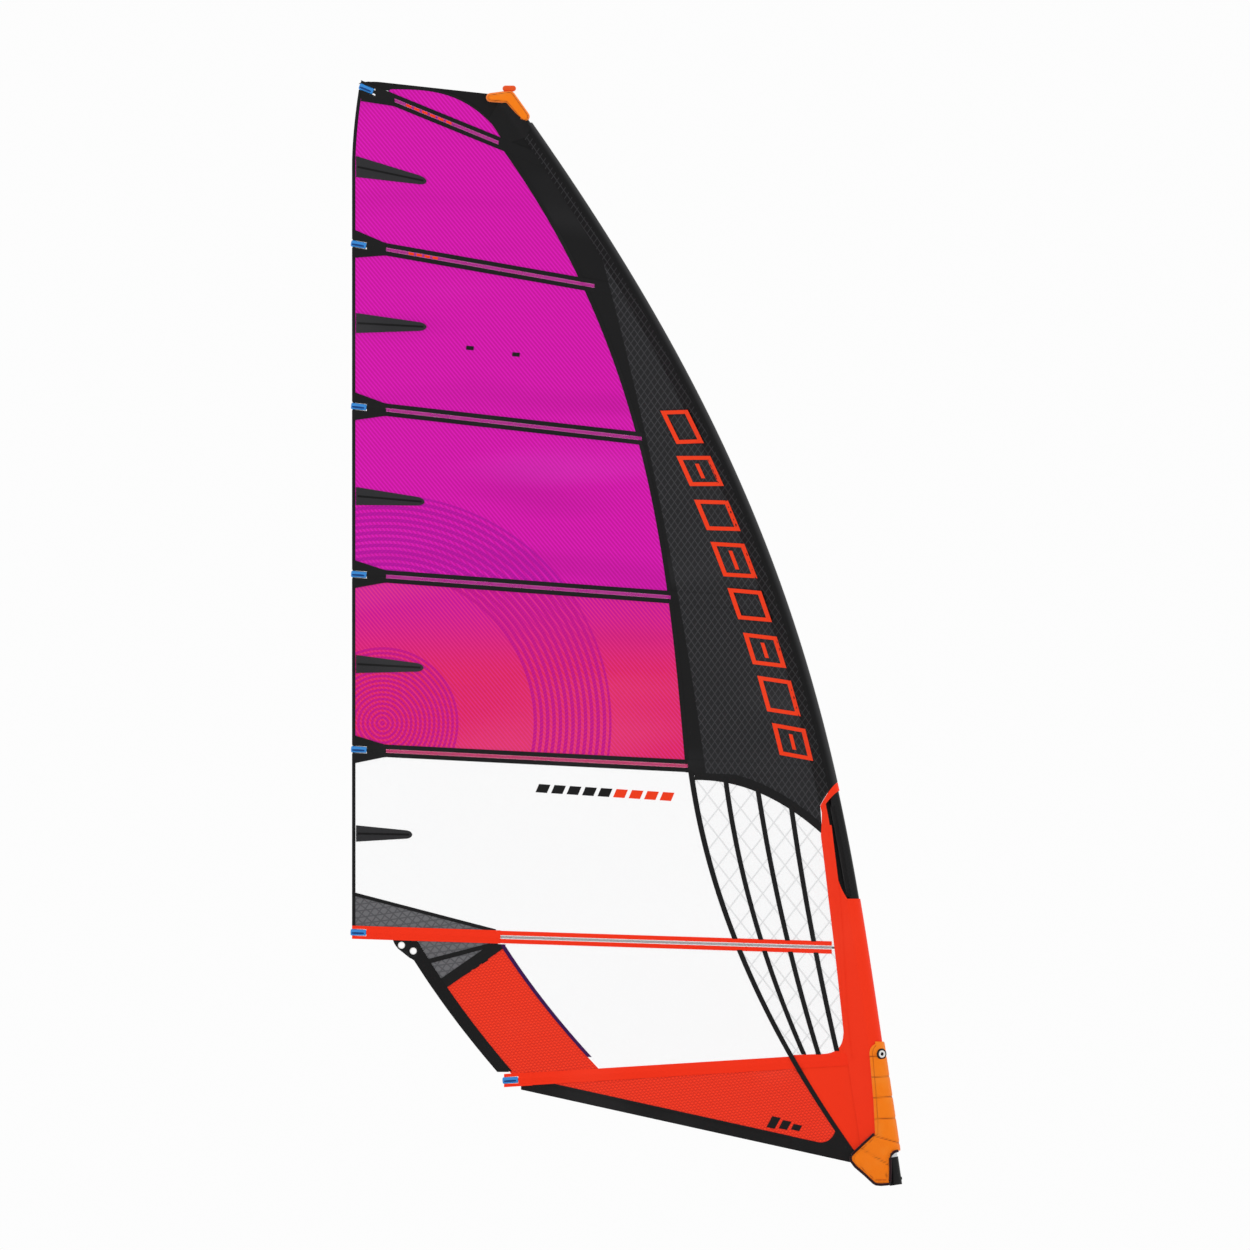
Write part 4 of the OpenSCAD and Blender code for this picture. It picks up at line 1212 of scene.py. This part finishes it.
def patch(name, outline, material, lift, t=0.8, holes=(), step=15, side=1, **kw):
    """A thin piece cut to an outline and laid on one side of the sail."""
    verts, faces, _ = triangulate(outline, holes, step)
    x, z = verts[:, 0], verts[:, 1]
    near, far = (on_sail(x, z, side * (outer_y(x, z) + lift + h)) for h in (t / 2, -t / 2))
    if side < 0:
        near, far = far, near
    closed(name, near, far, faces, material, **kw)


def both(name, outline, material, lift, **kw):
    patch(f"{name}_near", outline, material, lift, **kw)
    patch(f"{name}_far", outline, material, lift, side=-1, **kw)


def bezier(a, c, b, n=10):
    t = np.linspace(0, 1, n)[:, None]
    a, c, b = (np.asarray(v, float) for v in (a, c, b))
    return [tuple(v) for v in (1 - t) ** 2 * a + 2 * t * (1 - t) * c + t * t * b]


def corner(name, point, toward_1, toward_2, r, material, lift):
    """Rounds a panel's corner by covering its point."""
    c = np.asarray(point, float)
    ends = []
    for q in (toward_1, toward_2):
        d = np.asarray(q, float) - c
        ends.append(c + d / np.linalg.norm(d) * r)
    both(name, [tuple(c)] + bezier(ends[0], c, ends[1]), material, lift, step=12)


def along_line(line, x_rear, x_front, n, low, high):
    """The outline of a strip between two heights over a line."""
    xs = np.linspace(x_rear, x_front, n)
    return ([(float(x), float(line(x)) + low) for x in xs]
            + [(float(x), float(line(x)) + high) for x in xs[::-1]])


# ---- Black reinforcement round the clew, the foot and the luff ---------------------------

band_in = shift(leech_foot, 54)
clew_zs = np.linspace(455, 978, 40)
clew_outline = ([(float(band_in(z)) + 8, float(z)) for z in clew_zs]
                + [(-1914, 985), (-2013, 981)] + bezier((-2011, 976), (-1998, 940), (-1972, 940), 6)
                + bezier((-1966, 939), (-1948, 934), (-1938, 905), 6)
                + [(float(leech_foot(z)), float(z)) for z in clew_zs[::-1] if z < 900])
both("clew_patch", clew_outline, black_cloth, 2.4, t=0.9,
     holes=[circle(x, z, EYELET_R + 3.2) for x, z in EYELETS])
both("clew_strip", [(-1886, 900), (-1874, 884), (-1624, 950), (-1622, 968)], black_tape, 2.2)
both("clew_edge", [(-1838, 776), (-1826, 770), (-1574, 944), (-1560, 962), (-1618, 966),
                   (-1840, 812)], black_tape, 2.3)
corner("red_corner", (-1826, 786), (-1716, 856), (-1734, 664), 54, black_tape, 2.0)
both("foot_seam_cover", along_line(foot_line, -1420, -416, 60, 43, 53), black_tape, 1.5, step=20)
low_corner = [(-420, foot_line(-420) + 52), (-420, foot_line(-420) + 4)]
both("tack_black", low_corner + [(-160, foot_line(-160) + 3), (-150, 112), (-186, 152),
     (-236, 222), (-244, 214)] + bezier((-244, 212), (-262, 168), (-305, 170), 8), black_tape,
     1.6)
both("scrim_corner", [(-176, 500), (-196, 700), (-207, 640)] + bezier((-211, 600), (-214, 524),
     (-300, 524), 12) + [(-420, 520), (-420, 500)], red_cloth, 1.3, step=12)
both("scrim_edge", [(-196, 700), (-212, 700), (-226, 1000), (-240, 1180), (-272, 1440),
     (-258, 1440), (-226, 1180), (-212, 1000)], red_cloth, 1.2)
both("luff_seam_cover", [(float(luff_seam(z)) - 8, float(z)) for z in np.linspace(1650, 4170, 90)]
     + [(float(luff_seam(z)) + 9, float(z)) for z in np.linspace(4170, 1650, 90)],
     black_tape, 0.9, step=18)
both("head_luff_cover", [(-1590, 4330), (-1556, 4336), (-1528, 4322), (-1486, 4262), (-1462, 4226),
     (-1480, 4190), (-1545, 4170), (-1580, 4188), (-1602, 4223), (-1630, 4262)], black_tape, 1.6,
     step=12)
both("head_corner", [(-2150, 4404), (-2140, 4411), (-2110, 4414), (-2040, 4408), (-2000, 4399),
     (-2030, 4376), (-2060, 4384), (-2100, 4405)], black_cloth, 1.6, step=12)
both("head_seam_cover", along_line(head_curve, -2060, -1600, 40, -3, 9), black_tape, 0.9, step=12)


# The closing web joins the cut-out's two edges behind the mast.
def web(push):
    z = np.linspace(CUT_LOW - 8, CUT_HIGH + 32, 38)[:, None]
    c = cut_depth(z) + 3
    zz = z - nose_slant(z, c, True)
    x0 = lead_x(zz) - c
    a = np.linspace(-1, 1, 25)[None, :]
    reach = np.maximum(6, mast_x(zz) - mast_r(zz) + 1.5 - push - x0)
    x = x0 + reach * (1 - np.abs(a) ** 2.4)
    y0 = sleeve_y(c, zz) - WALL - 0.4
    return np.stack([x, sail_y(x0, zz) + a * y0, zz + 0 * a], -1)


shell("cutout_web", web(0), web(1.2), inner_black)

# ---- Generic marks -----------------------------------------------------------------------


def slanted(x, z, along, half_len, half_wide, lean):
    """A slanted bar: its corners, with its length along a direction in degrees."""
    a = math.radians(along)
    u, v = np.array([math.cos(a), math.sin(a)]), np.array([-math.sin(a), math.cos(a)])
    corners = []
    for s, t in ((-1, -1), (1, -1), (1, 1), (-1, 1)):
        p = np.array([x, z]) + u * (s * half_len + lean * t * half_wide) + v * t * half_wide
        corners.append(tuple(p))
    return corners


MARKS = 8
for i in range(MARKS):
    s = (i + 0.5) / MARKS
    x = -893 + 505 * s + 96 * s * (1 - s)
    z = 3120 - 1440 * s + 40 * s * (1 - s)
    tilt = -63 - 14 * s
    reach, wide, border = 66 if i % 3 else 74, 62 if i else 50, 17
    big = slanted(x, z, tilt, reach, wide, 0.45)
    small = slanted(x, z, tilt, reach - border, wide - border, 0.45)
    inset = slanted(x, z, tilt, reach - 2 * border, 7, 0.45)
    # Marks 1 and 5 cross a batten pocket, so they lie higher.
    patch(f"luff_mark_{i + 1}", big, mark_red, 1.3 if i % 4 else 8, 0.6,
          holes=[resample(small, 10)], step=10)
    if i % 2:
        patch(f"luff_bar_{i + 1}", inset, mark_red, 1.3, 0.6, step=12)
for i in range(9):
    patch(f"window_mark_{i + 1}", slanted(-1412 + 62 * i, 1586 - 4 * i, -4, 23, 17, 0.35),
          black_tape if i < 5 else mark_red, 0.7, 0.5)
for i in range(3):
    patch(f"foot_mark_{i + 1}", slanted(-490 + 46 * i, 250 - 10 * i, -12, 17, 24 - 6 * i, 0.3),
          black_tape, 0.7, 0.5)
    patch(f"clew_mark_{i + 1}", slanted(-1714 + 34 * i, 856 + 22 * i, 32, 14, 9, 0.3), black_tape,
          0.7, 0.5)
for i, (x, z) in enumerate(((-1704, 3348), (-1520, 3322))):
    patch(f"dot_{i + 1}", slanted(x, z, -5, 15, 8, 0), black_tape, 0.7, 0.5)
for k, x0, n in ((1, -1960, 6), (2, -1950, 4)):
    for i in range(n):
        x = x0 + 32 * i
        pocket_strip(f"rod_mark_{k}_{i + 1}", k, np.linspace(x, x + 22, 3), np.linspace(-5, 5, 5),
                     lambda x, w: hump(k)(x, w) + 0.7, 1, mark_red, 0.4)

# ---- Padded head cap and its plug --------------------------------------------------------

def pillow(name, outline, half, edge, material, step, **kw):
    """A stuffed shape: full thickness inside, round at its outline, with a stitched border."""
    verts, faces, rim = triangulate(outline, (), step)
    d = edge_distance(rim, verts)
    full = half * np.sqrt(np.maximum(0.02, 1 - (1 - clamp(d / edge, 0, 1)) ** 2))
    seam = np.exp(-((d - edge * 0.62) / 1.6) ** 2)
    full = full - 1.8 * seam
    near, far = (np.stack([verts[:, 0], y, verts[:, 1]], 1) for y in (-full, full))
    obj = closed(name, near, far, faces, material, **kw)
    # The stitched groove is stored for the pad cloth, which darkens it as painted shade.
    store(obj, "seam", np.concatenate([seam, seam]))
    return obj


CAP_CENTRE = (-1547.0, 4351.0)


def union(circles_1, circles_2):
    """The outline of two hulls that overlap, found by marching rays from the shared circle."""
    hulls = [disc_outline(c, 0, seg=240)[:, [0, 2]] for c in (circles_1, circles_2)]
    centre = np.array(CAP_CENTRE)
    out = []
    for t in np.linspace(0, 2 * np.pi, 220, endpoint=False):
        d = np.array([math.cos(t), math.sin(t)])
        far = 0.0
        for a in hulls:
            e = np.roll(a, -1, 0) - a
            m = d[0] * e[:, 1] - d[1] * e[:, 0]
            m = np.where(np.abs(m) < 1e-9, 1e-9, m)
            rel = a - centre
            dist = (rel[:, 0] * e[:, 1] - rel[:, 1] * e[:, 0]) / m
            at = (rel[:, 0] * d[1] - rel[:, 1] * d[0]) / m
            hit = (at >= 0) & (at <= 1) & (dist > 0)
            far = max(far, dist[hit].max() if hit.any() else 0)
        out.append(tuple(centre + d * far))
    return out


cap_shape = union([(-1622, 4350, 18), (-1548, 4352, 26)], [(-1546, 4350, 26), (-1487, 4274, 22)])
head = pillow("head_cover", cap_shape, 24, 13, pad_cloth, 4, replaces=["head_cap"])
plug_shape = disc_outline([(-1562, 4386, 12), (-1532, 4386, 12)], 0, seg=60)[:, [0, 2]]
pillow("head_plug_top", plug_shape, 13, 5, orange_plastic, 3,
       replaces=["head_plug"])

# ---- Tack pad ----------------------------------------------------------------------------

PAD_GAP, PAD_T = 1.6, 7
PAD_FOOT, PAD_FLAT, PAD_HEAD = 6, 130, 574
PAD_REAR_Z = [6, 50, 94, 108, 122, 205, 330, 530, 545, 558, 568, 574]
PAD_REAR = [-82, -130, -177, -180, -172, -84, -90, -107, -103, -94, -78, -60]
NOTCH = 137                     # top of the notch in the pad's front
RIBS = (518, 434, 352, 266)     # level channels


def pad_front(z):
    """The pad's front edge below the notch's top, and the mast's line above."""
    return np.where(z < NOTCH, -25 + 22 * clamp((z - 108) / 29, 0, 1) ** 2.2, mast_x(z))


def pad_half(x, z):
    h = sleeve_half(z)
    return np.maximum(4, np.minimum(h, h - 24 * clamp((mast_x(z) - x) / 125, 0, 1) ** 1.3))


def pad_channels(x, z):
    """The distance to the nearest stitched channel."""
    dist = np.full(z.shape, 1e3)
    for v in RIBS:
        dist = np.minimum(dist, np.abs(z - v - 0.06 * (x + 40)))
    dist = np.minimum(dist, np.abs(z - 181 + 0.29 * (x + 33)))
    dist = np.minimum(dist, np.abs(z - 114 + 0.62 * (x + 84)))
    return dist


def pad_mid(x, z):
    """The sail's middle surface, and below PAD_FLAT a plain slope down to y = 0."""
    return np.where(z > PAD_FLAT, sail_y(x, z), sail_y(x, PAD_FLAT + 0 * z) * z / PAD_FLAT)


def puffed(a, b):
    """The pad's share of its full thickness, from two distances that both flatten it."""
    return 0.35 + 0.65 * np.sqrt(clamp(a, 0, 1)) * np.sqrt(clamp(b, 0, 1))


def pad_surface():
    z = np.unique(np.concatenate([np.linspace(PAD_FOOT, NOTCH, 30),
                                  np.linspace(NOTCH, PAD_HEAD, 96)]))[:, None]
    rear, front = np.interp(z, PAD_REAR_Z, PAD_REAR), pad_front(z)
    f = np.concatenate([[0, 0.015, 0.04, 0.075, 0.11], np.linspace(0.15, 1, 13)])[None, :]
    x = rear + (front - rear) * f
    edge = np.minimum(x - rear, np.minimum(z - PAD_FOOT, PAD_HEAD - z) + 0 * x)
    edge = np.where(z < NOTCH, np.minimum(edge, front - x), edge)
    mid = pad_mid(x, z)
    chan = pad_channels(x, z)
    puff = puffed(edge / 9, 0.1 + chan / 9)
    border = np.abs(edge - 13)
    puff = puff * (1 - 0.3 * np.exp(-(border / 2) ** 2))
    # The channels and the border, which the pad cloth darkens as painted shade in their grooves.
    seam = np.maximum(np.exp(-(chan / 2.2) ** 2), 0.75 * np.exp(-(border / 1.6) ** 2))
    sides = []
    for side in (-1, 1):
        out = [np.stack([x, mid + side * (pad_half(x, z) + PAD_GAP + t), z + 0 * x], -1)
               for t in (PAD_T * puff, 0 * puff)]
        sides.append((out[0], out[1], seam))
    a = np.radians(np.arange(0, 181, 7.5))[None, :]
    r = nose_depth(z) + PAD_GAP
    xn = mast_x(z) + (r + 4) * np.sin(a)
    chan = pad_channels(xn, z + 0 * a)
    puff = puffed(0.1 + chan / 9, np.minimum(z - NOTCH + 2, PAD_HEAD + 2 - z) / 9)
    seam_n = np.exp(-(chan / 2.2) ** 2)
    nose = []
    for t in (PAD_T * puff, 0 * puff):
        y = -(sleeve_half(z) + PAD_GAP + t) * np.cos(a)
        nose.append(np.stack([mast_x(z) + (r + t) * np.sin(a), y, z + 0 * a], -1))
    near, far = sides
    outer, inner = (np.concatenate([near[i], nose[i][:, 1:-1], far[i][:, ::-1]], 1) for i in (0, 1))
    seams = np.concatenate([near[2], seam_n[:, 1:-1], far[2][:, ::-1]], 1)
    return outer, inner, seams, z.ravel(), f.size


pad_out, pad_in, pad_seam, pad_z, side_cols = pad_surface()
keep = np.ones((pad_out.shape[0] - 1, pad_out.shape[1] - 1), bool)
total = pad_out.shape[1]
keep[pad_z[:-1] < NOTCH - 0.1, side_cols - 1:total - side_cols] = False
points, faces, used = drop_unused(
    np.concatenate([pad_out.reshape(-1, 3), pad_in.reshape(-1, 3)]),
    shell_faces(*pad_out.shape[:2], keep))
tack = add_mesh("tack_cover", points, faces, pad_cloth, replaces=["tack_pad"])
# The outside's stitched channels, darkened by the pad cloth as painted shade.
store(tack, "seam", np.concatenate([pad_seam.ravel(), 0 * pad_seam.ravel()])[used])


def piping(name, path, r, material):
    """A round cord sewn along a path of points."""
    path = np.asarray(path, float)
    rings = []
    a = np.linspace(0, 2 * np.pi, 14, endpoint=False)
    for i, p in enumerate(path):
        d = path[min(i + 1, len(path) - 1)] - path[max(i - 1, 0)]
        u, v, _ = frame_of(d)
        rings.append(p + r * (np.cos(a)[:, None] * u + np.sin(a)[:, None] * v))
    tube(name, rings, material)


PIPE = [(-88, 204), (-132, 164), (-170, 128), (-181, 113), (-181, 98), (-163, 74), (-122, 39),
        (-90, 9), (-80, 3), (-60, 1), (-24, 4), (-22, 60), (-23, 106), (-18, 122), (-6, 133),
        (10, 137)]
for side, tag in ((-1, "near"), (1, "far")):
    line = resample(PIPE, 9)
    line = line[:int(np.argmax(line[:, 0] > 8)) + 1]
    x, z = line[:, 0], line[:, 1]
    path = np.stack([x, pad_mid(x, z) + side * (pad_half(x, z) + PAD_GAP + 5), z], 1)
    piping(f"pad_piping_{tag}", path, 5.4, plum)

# The eyelet in the pad: a white ring in a dark flange, turned forward from the near side.
turn = math.radians(32)
facing_dir = np.array([math.sin(turn), -math.cos(turn), 0])
ring_z = 524
seat = np.array([float(mast_x(ring_z)), 0, ring_z]) + facing_dir * (
    float(sleeve_half(ring_z)) + PAD_GAP + PAD_T)
lathe("eyelet_flange", seat, facing_dir, [(9, -2.5), (21, -3.5), (22.4, -2), (22, 0.2), (20, 1.6),
      (15.5, 2.0), (15, 1.2), (9, 1.2)], black_plastic, 56)
lathe("eyelet_bore", seat, facing_dir, [(0.3, 0.9), (7.4, 0.9), (7.4, 1.6), (0.3, 1.6)],
      inner_black, 40, slot="black_plastic")
lathe("eyelet_ring", seat, facing_dir, [(7, 1.0), (7.4, 3.4), (9, 4.4), (13, 4.4), (14.6, 3.4),
      (15, 1.0)], white_plastic, 56, replaces=["tack_eyelet"])
